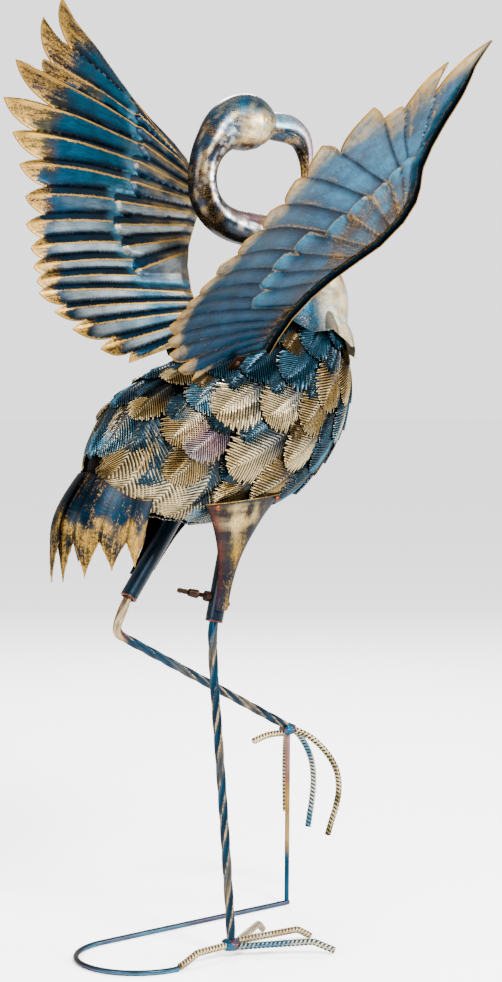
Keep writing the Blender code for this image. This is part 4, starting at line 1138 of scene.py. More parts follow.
@dataclass
class Wing:
    """One raised wing, cut from the shared stamping."""

    name: str
    side: int
    pattern: WingPattern
    centre: Place = (163.8, 115.4, 787.4)
    lean: float = math.radians(35.1)
    sweep: float = math.radians(3.35)
    pair_pivot: Place = (0.0, 0.0, 560.0)
    pair_roll: float = math.radians(11.5)
    pair_yaw: float = math.radians(6.2)
    sheet: float = 1.4
    flange_depth: float = 7.0
    flange_spread: float = 1.5

    def place(self, u: Array, v: Array, w: Array) -> Array:
        """Return places of the wing. w runs to the underside.

        Args:
            u: millimetres out along the wing.
            v: millimetres back.
            w: millimetres from the pattern's plane.

        Returns:
            One row for each place, in metres.
        """
        out = np.array((math.sin(self.lean), 0.0, math.cos(self.lean)))
        under = np.array((math.cos(self.lean), 0.0, -math.sin(self.lean)))
        back = np.array((0.0, math.cos(self.sweep), 0.0)) + under * math.sin(self.sweep)
        under = under * math.cos(self.sweep) - np.array((0.0, math.sin(self.sweep), 0.0))
        points = np.array(self.centre) + np.outer(u, out) + np.outer(v, back) + np.outer(w, under)
        points[:, 0] *= self.side
        turn = Matrix.Rotation(self.pair_yaw, 3, "Z") @ Matrix.Rotation(-self.pair_roll, 3, "Y")
        pivot = np.array(self.pair_pivot)
        return ((points - pivot) @ np.array(turn).T + pivot) * MM + np.array(SHIFT)

    def build(self) -> Piece:
        """Make the wing and return it.

        Returns:
            The new piece.
        """
        flat, faces = self.pattern.mesh()
        read = self.pattern.read(flat)
        bowed = -self.pattern.camber(flat)
        middle = bowed - self.pattern.relief(read)
        half = self.sheet / 2
        upper = self.place(flat[:, 0], flat[:, 1], middle - half)
        lower = self.place(flat[:, 0], flat[:, 1], bowed + half + self.pattern.pillows(read))
        count = len(flat)
        skin = Skin()
        flow = np.stack([read.along, read.across * 12], axis=1) * MM
        flow[:, 0] += read.index * 0.5
        flow = np.where(read.covert[:, None],
                        np.stack([read.row_along * MM + 0.25 + read.row * 0.5,
                                  read.row_across * 12 * MM], axis=1), flow)
        upper_tint, upper_wear = self.upper_paint(read)
        lower_tint, lower_wear = self.lower_paint(read)
        skin.add(np.concatenate([upper, lower]),
                 faces + [tuple(corner + count for corner in reversed(face)) for face in faces],
                 np.concatenate([upper_tint, lower_tint]), np.concatenate([upper_wear, lower_wear]),
                 np.concatenate([flow, flow]))
        self.close_rim(skin, flat, faces, read, middle)
        return skin.piece(self.name, "wing", [self.name], sharp=28.0)

    def close_rim(self, skin: Skin, flat: Array, faces: list[Face],
                  read: Reading, middle: Array) -> None:
        """Join the two faces of the sheet round its rim, with the flange along the front edge.

        Args:
            skin: the piece, which already holds both faces.
            flat: the stamping's flat points.
            faces: its triangles.
            read: what the pattern says of the points.
            middle: height of the middle of the sheet.
        """
        count = len(flat)
        directed = {(face[k], face[(k + 1) % len(face)]) for face in faces for k in range(len(face))}
        rim = [(a, b) for a, b in directed if (b, a) not in directed]
        on_front = read.front_room < 0.2
        front = [(a, b) for a, b in rim if on_front[a] and on_front[b]]
        plain = [(a, b) for a, b in rim if not (on_front[a] and on_front[b])]
        skin.faces += [(b, a, a + count, b + count) for a, b in plain]
        used = sorted({corner for pair in front for corner in pair})
        number = {corner: k for k, corner in enumerate(used)}
        edge = flat[used]
        run = np.linalg.norm(edge - self.pattern.tip[0], axis=1)
        depth = 0.5 + self.flange_depth * ramp(run, 0.0, 90.0)
        level = middle[used] + self.sheet / 2
        size = len(used)
        back = edge[:, 1] - self.flange_spread
        # Share across the sheet, share of the depth, paint and dry brush of each ring of the lip;
        # the black and navy rings on its inner wall, at share across 1.0, are painted shade: the flange in
        # its own shadow
        rings = ((0.0, 0.60, Paint.NAVY, 0.3), (0.0, 0.85, Paint.CREAM, 0.9), (0.1, 1.0, Paint.CREAM, 1.0),
                 (0.9, 1.0, Paint.CREAM, 1.0), (1.0, 0.90, Paint.BLACK, 0.4), (1.0, 0.55, Paint.NAVY, 0.2),
                 (1.0, 0.2, Paint.TEAL, 0.4))
        lip = [self.place(edge[:, 0], back + self.sheet * across, level + depth * share)
               for across, share, _, _ in rings]
        tint = np.concatenate([coat(paint, size) for _, _, paint, _ in rings])
        wear = np.concatenate([np.full(size, touch) for _, _, _, touch in rings])
        flow = np.concatenate([np.stack([run, np.zeros(size)], axis=1)] * len(rings)) * MM
        start = skin.add(np.concatenate(lip), [], tint, wear, flow)
        met: set[int] = set()
        for a, b in front:
            chain_a = [a] + [start + number[a] + k * size for k in range(len(rings))] + [a + count]
            chain_b = [b] + [start + number[b] + k * size for k in range(len(rings))] + [b + count]
            skin.faces += [(chain_b[k], chain_a[k], chain_a[k + 1], chain_b[k + 1])
                           for k in range(len(rings) + 1)]
            met ^= {a, b}
        for corner in met:
            chain = [start + number[corner] + k * size for k in range(len(rings))]
            skin.faces.append((corner, *chain, corner + count))

    def upper_paint(self, read: Reading) -> Layers:
        """Return the upper side's base paint, with painted highlights, and dry brush; it shows on the far
        wing.

        Args:
            read: what the pattern says of the points.

        Returns:
            Tint and wear for each point.
        """
        points, across, along = read.points, read.across, read.along
        count = len(points)
        patches = waves(points, 70.0, 3)
        small = waves(points, 22.0, 5)
        tint = mix(coat(Paint.TEAL, count), Paint.DEEP_TEAL, 0.75 + 0.4 * patches)
        crest = np.where(read.covert, read.row_across, across)
        flight = ~read.covert
        strip = ramp(crest, 0.02, 0.12) * (1 - ramp(crest, 0.55, 0.9))
        tint = mix(tint, Paint.TURQUOISE, strip * 0.4 * flight * ramp(along, 30.0, 90.0))
        # Painted highlight: silver on the crest strips of the lower inner feathers
        painted_highlight_zone = ramp(-points[:, 0], -20.0, 60.0) * ramp(along, 16.0, 40.0)
        tint = mix(tint, Paint.SILVER, strip * painted_highlight_zone * (0.45 + 0.4 * patches))
        tint = mix(tint, Paint.NAVY, 0.85 * ramp(np.abs(crest), 0.72, 1.0))
        outer = ramp(points[:, 0], -40.0, 190.0)
        tip_reach = 26.0 + 70.0 * outer + 10.0 * small
        tip = (1 - ramp(along, tip_reach * 0.45, tip_reach)) * flight
        tint = mix(tint, Paint.BRONZE, tip * (0.55 + 0.35 * small))
        tint = mix(tint, Paint.OLIVE, tip * np.clip(0.3 + 0.5 * patches, 0, 1))
        near_root = ramp(-points[:, 1], 95.0, 160.0) * (1 - ramp(points[:, 0], 20.0, 90.0))
        inner = near_root * (0.45 + 0.4 * small)
        tint = mix(tint, Paint.BEIGE, inner * (1 - ramp(np.abs(crest), 0.45, 0.8)) * 0.8)
        tint = mix(tint, Paint.BROWN, inner * ramp(np.abs(crest), 0.5, 0.9) * 0.7)
        # Painted highlight: steel blue on the flight feathers just beside the coverts' edge
        highlight_beside_coverts = flight * (1 - ramp(read.covert_room, 2.0, 14.0)) * (1 - tip)
        tint = mix(tint, Paint.STEEL_BLUE, 0.8 * highlight_beside_coverts * ramp(points[:, 1], -185.0, -150.0))
        ridge_line = hump(crest, 0.0, 0.10)
        wear = 0.30 + 0.62 * ridge_line * (0.6 + 0.4 * ramp(along, 0.0, 60.0))
        wear = wear + 0.34 * tip + 0.18 * inner - 0.10 * ramp(np.abs(crest), 0.7, 1.0)
        wear = np.maximum(wear, 0.85 * (1 - ramp(read.edge_room, 0.5, 2.6)) * flight)
        return tint * 0.62, wear

    def lower_paint(self, read: Reading) -> Layers:
        """Return the underside's base paint, with painted shade and highlights, and dry brush; it shows on
        the near wing.

        Args:
            read: what the pattern says of the points.

        Returns:
            Tint and wear for each point.
        """
        points, across, along = read.points, read.across, read.along
        count = len(points)
        patches = waves(points, 80.0, 11)
        small = waves(points, 26.0, 13)
        crest = np.where(read.covert, read.row_across, across)
        flight = ~read.covert
        inward = ramp(-points[:, 0], -60.0, 110.0)
        tint = mix(coat(Paint.STEEL_BLUE, count), Paint.TEAL, 0.72 + 0.25 * patches)
        tint = mix(tint, Paint.TEAL, inward * (0.8 + 0.3 * patches))
        # Painted light on each feather: the half before the crest is shaded deep teal, and the pale stripe
        # just past the crest is a painted highlight
        tint = mix(tint, Paint.DEEP_TEAL, 0.8 * ramp(crest, -0.1, -0.95))
        tint = mix(tint, Paint.STEEL_BLUE, 0.35 * hump(crest, 0.25, 0.3) * (1 - inward))
        reach = 24.0 + 26.0 * ramp(points[:, 0], -60.0, 150.0) + 8.0 * small
        tip = (1 - ramp(along, reach * 0.4, reach * 1.3)) * flight
        tint = mix(tint, Paint.BEIGE, tip * (0.55 + 0.25 * small))
        covert_tip = (1 - ramp(read.row_along, 6.0, 26.0)) * read.covert
        tint = mix(tint, Paint.STEEL_BLUE, covert_tip * 0.6)
        root_side = ramp(-points[:, 1], 108.0, 150.0) * (1 - ramp(points[:, 0], 40.0, 110.0))
        tint = mix(tint, Paint.BRONZE, root_side * np.clip(0.3 + 0.5 * small, 0, 1))
        shade = flight * np.exp(-read.covert_room / 5.0)
        tint = mix(tint, Paint.NAVY, 0.7 * shade)
        # Painted shade: darker along the front edge, where it meets the flange's shaded inner wall
        tint = mix(tint, Paint.DEEP_TEAL, 0.6 * (1 - ramp(read.front_room, 0.5, 5.0)))
        tint = mix(tint, Paint.NAVY, 0.75 * ramp(np.abs(crest), 0.88, 1.0))
        seam = hump(crest, 0.80, 0.10)
        wear = 0.34 + 0.22 * seam * ramp(along, 4.0, 30.0) + 0.20 * tip + 0.2 * root_side + 0.10 * patches
        wear = np.maximum(wear, 0.8 * (1 - ramp(read.edge_room, 0.3, 1.6)) * flight)
        covert_line = (1 - ramp(read.covert_room, 0.3, 1.6)) * read.covert
        wear = np.maximum(wear, 0.62 * covert_line)
        tint = tint * (0.85 + 0.45 * ramp(points[:, 0], -40.0, 100.0))[:, None]
        # Less dry brush by the front edge keeps that painted shade dark
        return tint, wear - 0.1 * (1 - ramp(read.front_room, 0.5, 6.0))


def hermite(knots: Array, column: int, x: Array) -> Array:
    """Read a column of knots at places x, along a smooth curve through the knots.

    Args:
        knots: rows of values, the first of them the place.
        column: which value is read.
        x: places.

    Returns:
        One value for each place.
    """
    xs, ys = knots[:, 0], knots[:, column]
    last = len(xs) - 1
    before = np.maximum(np.arange(last + 1) - 1, 0)
    after = np.minimum(np.arange(last + 1) + 1, last)
    slope = (ys[after] - ys[before]) / (xs[after] - xs[before])
    x = np.clip(x, xs[0], xs[-1])
    i = np.clip(np.searchsorted(xs, x, side="right") - 1, 0, last - 1)
    width = xs[i + 1] - xs[i]
    t = (x - xs[i]) / width
    cubic = (2 * t**3 - 3 * t**2 + 1) * ys[i] + (3 * t**2 - 2 * t**3) * ys[i + 1]
    return cubic + width * ((t**3 - 2 * t**2 + t) * slope[i] + (t**3 - t**2) * slope[i + 1])


def finer_rings(rings: Sequence[Sequence[float]], fineness: int) -> Layers:
    """Return rings with more between them along smooth curves.

    Args:
        rings: rows of four values.
        fineness: how many there are for each given one.

    Returns:
        The place of each ring in the given row, and the rings.
    """
    knots = np.array(rings)
    places = np.linspace(0, len(knots) - 1, (len(knots) - 1) * fineness + 1)
    table = np.column_stack([np.arange(len(knots)), knots])
    return places, np.stack([hermite(table, column, places) for column in range(1, 5)], axis=1)


def spine(rings: Array) -> Layers:
    """Return the middles of rings along the bird's mid-plane, and the outward side of each."""
    centres = np.stack([np.zeros(len(rings)), rings[:, 0], rings[:, 1]], axis=1)
    tangents = np.gradient(centres, axis=0)
    tangents /= np.linalg.norm(tangents, axis=1, keepdims=True)
    return centres, np.cross(tangents, np.array((1.0, 0.0, 0.0)))


def framed(points: Array) -> Array:
    """Return places of the pose, in millimetres, in the frame's metres."""
    return points * MM + np.array(SHIFT)


def axis_of(vector: Sequence[float]) -> Array:
    """Return a direction of length one."""
    array = np.array(vector, dtype=float)
    return array / np.linalg.norm(array)


@dataclass
class Body:
    """The closed shell that everything is fixed to, painted black, which also serves as painted shade in the
    gaps between the leaves.
    """

    centre: Place = (0.0, -40.0, 565.0)
    lean: float = math.radians(20.0)
    belly: float = 472.0
    # Run along the leaning axis, top, bottom and half width
    stations: tuple[Ring, ...] = (
        (-181.0, 66.0, 32.0, 10.0), (-173.0, 80.0, 6.0, 30.0), (-155.0, 92.0, -29.0, 51.0),
        (-129.0, 97.0, -57.0, 64.0), (-98.0, 95.0, -77.0, 73.0), (-53.0, 90.0, -92.0, 79.0),
        (-10.0, 87.0, -93.0, 81.0), (30.0, 85.0, -87.0, 79.0), (66.0, 84.0, -78.0, 74.0),
        (120.0, 74.0, -51.0, 60.0), (150.0, 55.0, -29.0, 43.0), (175.0, 35.0, -8.0, 22.0),
        (185.0, 24.0, 3.0, 10.0),
    )

    def __post_init__(self) -> None:
        """Set out the body's own directions."""
        self.knots = np.array(self.stations)
        self.back = np.array((0.0, math.cos(self.lean), -math.sin(self.lean)))
        self.up = np.array((0.0, math.sin(self.lean), math.cos(self.lean)))

    def point(self, station: Array, degrees: Array, lift: Array) -> Array:
        """Return places on the skin, in millimetres.

        Args:
            station: distances along the leaning axis. Beyond its end they run straight on.
            degrees: 0 is left, 90 top and 180 right.
            lift: how far off the skin.

        Returns:
            One row for each place.
        """
        top, bottom, half_width = (hermite(self.knots, column, station) for column in (1, 2, 3))
        angle = np.radians(degrees)
        half_height = (top - bottom) / 2
        point = np.array(self.centre) + np.outer(station, self.back)
        point += np.outer((top + bottom) / 2 + np.sin(angle) * (half_height + lift), self.up)
        point[:, 0] += np.cos(angle) * (half_width + lift)
        return point

    def build(self) -> Piece:
        """Make the shell and return it.

        Returns:
            The new piece.
        """
        rings, sides = 60, 72
        run = np.linspace(0, 1, rings)
        first, last = self.stations[0][0], self.stations[-1][0]
        station = np.repeat(first + (last - first) * (0.5 - 0.5 * np.cos(np.pi * run)), sides)
        degrees = np.tile(360.0 * np.arange(sides) / sides, rings)
        points = self.point(station, degrees, np.zeros(len(station)))
        points[:, 2] = np.maximum(points[:, 2], self.belly)
        points = with_hubs(points.reshape(rings, sides, 3))
        faces = capped_faces(rings, sides)
        skin = Skin()
        # The black serves partly as painted shade for the dark gaps between the leaves
        skin.add(framed(points), faces, coat(Paint.BLACK, len(points)), 0.1, points[:, 1:] * MM)
        return skin.piece("body_shell", "body", ["body_shell"])


# Angles round the body
BACK = 90.0
BREAST = 270.0


class LeafStyle(Enum):
    """How a leaf feather is painted: base, ribs and tip."""

    CREAM = (Paint.BEIGE, Paint.CREAM, Paint.GOLD)
    OLIVE = (Paint.OLIVE, Paint.GOLD, Paint.BEIGE)
    PINK = (Paint.VIOLET, Paint.PINK, Paint.SILVER)
    TEAL = (Paint.TEAL, Paint.STEEL_BLUE, Paint.TURQUOISE)
    SHADOW = (Paint.DEEP_TEAL, Paint.STEEL_BLUE, Paint.NAVY)


@dataclass(frozen=True)
class Leaf:
    """One stamped leaf feather, laid from its base to its tip on the body."""

    tip: Span
    base: Span
    style: LeafStyle
    width: float = 0.72
    raise_by: float = 0.0


@dataclass
class LeafCoat:
    """The rows of leaf feathers over the body."""

    body: Body
    ribs: int = 25
    steps: tuple[int, int] = (4, 2)
    columns: tuple[int, int] = (6, 4)
    thickness: float = 0.9
    rib_height: float = 0.6
    lobe_depth: float = 0.16
    midrib_share: float = 1.25
    slant: float = math.radians(46.0)
    stretch: float = 1.12
    lift: Span = (1.5, 7.6)
    lower_styles: tuple[LeafStyle, ...] = (LeafStyle.TEAL, LeafStyle.OLIVE, LeafStyle.SHADOW)
    rows: tuple[tuple[Leaf, ...], ...] = (
        (Leaf((184, 222), (133, 138), LeafStyle.CREAM), Leaf((156, 250), (116, 172), LeafStyle.CREAM),
         Leaf((178, 120), (118, 112), LeafStyle.TEAL), Leaf((184, 176), (126, 122), LeafStyle.OLIVE)),
        (Leaf((137, 123), (82, 116), LeafStyle.OLIVE), Leaf((125, 162), (64, 146), LeafStyle.OLIVE),
         Leaf((127, 250), (86, 192), LeafStyle.CREAM), Leaf((136, 198), (84, 172), LeafStyle.OLIVE)),
        (Leaf((80, 112), (22, 106), LeafStyle.OLIVE), Leaf((111, 178), (55, 160), LeafStyle.PINK),
         Leaf((99, 254), (60, 214), LeafStyle.TEAL), Leaf((86, 222), (38, 207), LeafStyle.OLIVE),
         Leaf((82, 144), (20, 132), LeafStyle.TEAL)),
        (Leaf((66, 155), (-14, 148), LeafStyle.CREAM), Leaf((72, 194), (-8, 184), LeafStyle.CREAM),
         Leaf((42, 222), (-34, 210), LeafStyle.OLIVE), Leaf((38, 120), (-24, 116), LeafStyle.SHADOW),
         Leaf((48, 244), (-14, 238), LeafStyle.SHADOW)),
        (Leaf((12, 168), (-58, 163), LeafStyle.CREAM), Leaf((-2, 202), (-66, 193), LeafStyle.CREAM),
         Leaf((4, 136), (-62, 130), LeafStyle.SHADOW), Leaf((-2, 236), (-70, 228), LeafStyle.SHADOW)),
        (Leaf((-34, 184), (-98, 176), LeafStyle.OLIVE), Leaf((-44, 218), (-104, 208), LeafStyle.SHADOW),
         Leaf((-36, 152), (-100, 146), LeafStyle.SHADOW), Leaf((-50, 116), (-110, 112), LeafStyle.SHADOW),
         Leaf((-48, 250), (-108, 240), LeafStyle.SHADOW)),
        (Leaf((-72, 182), (-132, 166), LeafStyle.OLIVE), Leaf((-88, 212), (-142, 200), LeafStyle.TEAL),
         Leaf((-86, 146), (-142, 140), LeafStyle.SHADOW), Leaf((-96, 244), (-146, 232), LeafStyle.SHADOW)),
        (Leaf((-112, 196), (-156, 178), LeafStyle.OLIVE), Leaf((-122, 226), (-158, 212), LeafStyle.SHADOW),
         Leaf((-128, 158), (-160, 150), LeafStyle.SHADOW), Leaf((-128, 122), (-160, 116), LeafStyle.SHADOW),
         Leaf((-134, 252), (-160, 244), LeafStyle.SHADOW)),
    )
    middles: tuple[Span, ...] = (
        (182, 118), (134, 72), (84, 20), (38, -24), (-4, -66), (-48, -110), (-92, -146), (-132, -162),
    )

    def build(self) -> list[Piece]:
        """Make every row and return them.

        Returns:
            One piece for each row.
        """
        made = []
        for number, (row, middle) in enumerate(zip(self.rows, self.middles), start=1):
            skin = Skin()
            self.add_leaf(skin, self.middle_leaf(middle, BACK, LeafStyle.SHADOW), 1, number * 31)
            if number > 2:
                width = 0.8 if number < 6 else 1.0
                leaf = self.middle_leaf(middle, BREAST, self.lower_styles[number % 3], width)
                self.add_leaf(skin, leaf, 1, number * 41)
            for k, leaf in enumerate(list(row) + self.between(row, middle, number)):
                self.add_leaf(skin, leaf, 1, number * 31 + k)
                self.add_leaf(skin, leaf, -1, number * 37 + k)
            name = f"leaf_feathers_row_{number}"
            made.append(skin.piece(name, "leaf", [name], 50.0))
        return made

    @staticmethod
    def middle_leaf(middle: Span, degrees: float, style: LeafStyle, width: float = 0.72) -> Leaf:
        """Return a leaf on the body's mid-plane, from its tip and base stations."""
        return Leaf((middle[0], degrees), (middle[1], degrees), style, width)

    def between(self, row: tuple[Leaf, ...], middle: Span, number: int) -> list[Leaf]:
        """Return the leaves that lie under the gaps of a row.

        Args:
            row: the row's upper leaves.
            middle: tip and base station of the leaf on the back.
            number: the row's number.

        Returns:
            Lower leaves, one for each gap.
        """
        order = sorted(row, key=lambda leaf: leaf.base[1])
        order = [self.middle_leaf(middle, BACK, LeafStyle.TEAL)] + order
        made = []
        for k, (first, second) in enumerate(zip(order, order[1:])):
            tip = tuple((first.tip[n] + second.tip[n]) / 2 + (-22.0, 3.0)[n] for n in (0, 1))
            base = tuple((first.base[n] + second.base[n]) / 2 + (-14.0, 0.0)[n] for n in (0, 1))
            made.append(Leaf(tip, base, self.lower_styles[(number + k) % 3], 0.70, -1.3))
        return made

    def half_width(self, t: Array) -> Array:
        """Return half the width of a leaf at shares t of its length from the tip, at most 1."""
        t = np.clip(t, 0.0, 1.0)
        return np.clip(np.sin(np.pi * t**0.66), 0, 1)**0.66

    def rib_reach(self, starts: Array, length: float, reach: float) -> Array:
        """Return how far each slanting rib runs from the midrib to the leaf's edge.

        Args:
            starts: where the ribs leave the midrib, in millimetres from the tip.
            length: length of the leaf.
            reach: half of its greatest width.

        Returns:
            Millimetres along each rib.
        """
        low, high = np.zeros(len(starts)), np.full(len(starts), reach * 2.2)
        for _ in range(24):
            middle = (low + high) / 2
            edge = reach * self.half_width((starts - middle * math.cos(self.slant)) / length)
            within = middle * math.sin(self.slant) < edge
            low, high = np.where(within, middle, low), np.where(within, high, middle)
        return low

    def add_leaf(self, skin: Skin, leaf: Leaf, side: int, seed: int) -> None:
        """Add one leaf to a row.

        Args:
            skin: the row's piece.
            leaf: where it lies and how it is painted.
            side: 1 for the bird's right, -1 for its mirror image.
            seed: which small unevenness it gets.
        """
        hidden = int(leaf.raise_by < 0)
        rows, columns = self.ribs * self.steps[hidden] + 1, 2 * self.columns[hidden] + 1
        run = np.linspace(0.0, 1.0, rows)
        across = np.linspace(-1.0, 1.0, columns)
        along_grid = np.repeat(run[:, None], columns, axis=1)
        across_grid = np.repeat(across[None, :], rows, axis=0)
        tip, base = np.array(leaf.tip, dtype=float), np.array(leaf.base, dtype=float)
        base = tip + (base - tip) * (self.stretch if leaf.raise_by >= 0 else 1.0)
        scale = self.arc_scale((tip + base) / 2)
        chord = (base - tip) * np.array((1.0, scale))
        length = float(np.linalg.norm(chord))
        axis = chord / length
        normal = np.array((-axis[1], axis[0]))
        reach = length * leaf.width / 2
        phase = along_grid * self.ribs
        tooth = 0.5 + 0.5 * np.cos(2 * np.pi * phase)
        notch = 1 - np.abs(np.sin(np.pi * phase / 2.5 + 0.4 * np.sign(across_grid)))**0.5
        lobe = 1 - self.lobe_depth * (1 - tooth) * 0.4 - 2.2 * self.lobe_depth * notch
        midrib_length = length * self.midrib_share
        rib_length = self.rib_reach(run * midrib_length, length, reach)[:, None] * lobe * np.abs(across_grid)
        forward = along_grid * midrib_length - rib_length * math.cos(self.slant)
        width = rib_length * math.sin(self.slant) * np.sign(across_grid)
        flat = tip + (forward[..., None] * axis + width[..., None] * normal) / np.array((1.0, scale))
        flat = flat.reshape(-1, 2)
        share = np.clip(1 - forward.ravel() / length, 0.0, 1.0)
        rib = (tooth.ravel() - 0.5) * 2 * self.rib_height * ramp(np.abs(across_grid).ravel(), 0.05, 0.3)
        rib *= ramp(1 - np.abs(across_grid).ravel(), 0.0, 0.12)
        midrib = 0.9 * hump(across_grid.ravel(), 0.0, 0.10)
        bow = 2.4 * (1 - across_grid.ravel()**2)
        wobble = 0.5 * waves(np.stack([forward.ravel(), across_grid.ravel() * reach], axis=1), 40.0, seed)
        rise = self.lift[0] + (self.lift[1] - self.lift[0]) * share
        lift = rise + leaf.raise_by + bow * 0.55 + rib + midrib + wobble * share
        degrees = flat[:, 1] if side > 0 else 180.0 - flat[:, 1]
        station = flat[:, 0]
        outer = self.body.point(station, degrees, lift)
        inner = self.body.point(station, degrees, lift - self.thickness)
        tint, wear = self.paint(leaf, along_grid.ravel(), across_grid.ravel(), tooth.ravel(), share, seed)
        dark = mix(coat(Paint.BLACK, len(outer)), Paint.DEEP_TEAL, np.full(len(outer), 0.4))
        faces = shell_faces(rows, columns, grid_faces(rows, columns))
        flow = np.stack([forward.ravel(), width.ravel()], axis=1) * MM
        skin.add(framed(np.concatenate([outer, inner])), faces, np.concatenate([tint, dark]),
                 np.concatenate([wear, np.full(len(outer), 0.15)]), np.concatenate([flow, flow]))

    def arc_scale(self, place: Array) -> float:
        """Return millimetres to a degree round the body at a station and angle."""
        station = np.array([place[0], place[0]])
        degrees = np.array([place[1] - 1.0, place[1] + 1.0])
        points = self.body.point(station, degrees, np.full(2, 4.0))
        return float(np.linalg.norm(points[1] - points[0]) / 2)

    def paint(self, leaf: Leaf, along: Array, across: Array, tooth: Array,
              share: Array, seed: int) -> Layers:
        """Return base paint, with painted shadow at the base and painted shade on the lower leaves, and dry
        brush of a leaf's outer face.

        Args:
            leaf: the leaf.
            along: places from tip to base, 0 to 1.
            across: places across, -1 to 1.
            tooth: 1 on a rib and 0 between ribs.
            share: places from base to tip.
            seed: which patches.

        Returns:
            Tint and wear for each point.
        """
        ground, ribs, end = leaf.style.value
        patches = waves(np.stack([along * 3, across], axis=1), 1.2, seed)
        outer = ramp(share + 0.12 * patches, 0.22, 0.66)
        tint = mix(coat(Paint.DEEP_TEAL, len(along)), Paint.TEAL, 0.5 + 0.5 * patches)
        tint = mix(tint, ground, outer * 0.75 * ramp(tooth, 0.15, 0.55))
        tint = mix(tint, ribs, ramp(tooth, 0.45, 0.95) * (0.2 + 0.7 * outer))
        tint = mix(tint, end, 0.6 * ramp(share, 0.6, 1.0) * (0.6 + 0.4 * patches))
        valley = (1 - ramp(tooth, 0.12, 0.88)) * ramp(np.abs(across), 0.06, 0.2)
        tint = mix(tint, Paint.BLACK, valley * 0.9)
        # Painted shadow: the base of each leaf, under the leaf above, is darkened towards black
        tint = mix(tint, Paint.BLACK, 0.75 * (1 - ramp(share, 0.10, 0.34)))
        tint = mix(tint, Paint.NAVY, 0.8 * hump(np.abs(across), 0.13, 0.05))
        # Painted shade: the lower leaves under the row's gaps keep a fifth of their paint, and they and the
        # SHADOW leaves get less dry brush
        tint = tint * ((0.2 if leaf.raise_by < 0 else 1.0) * (0.4 + 0.9 * tooth))[:, None]
        dark = 0.30 if leaf.raise_by < 0 or leaf.style is LeafStyle.SHADOW else 0.0
        wear = 0.26 - dark + 0.44 * ramp(tooth, 0.6, 1.0) * (0.35 + 0.65 * outer) + 0.12 * patches
        wear = wear + 0.3 * ramp(np.abs(across), 0.88, 1.0) + 0.15 * hump(across, 0.0, 0.06)
        return tint, wear - 0.5 * valley


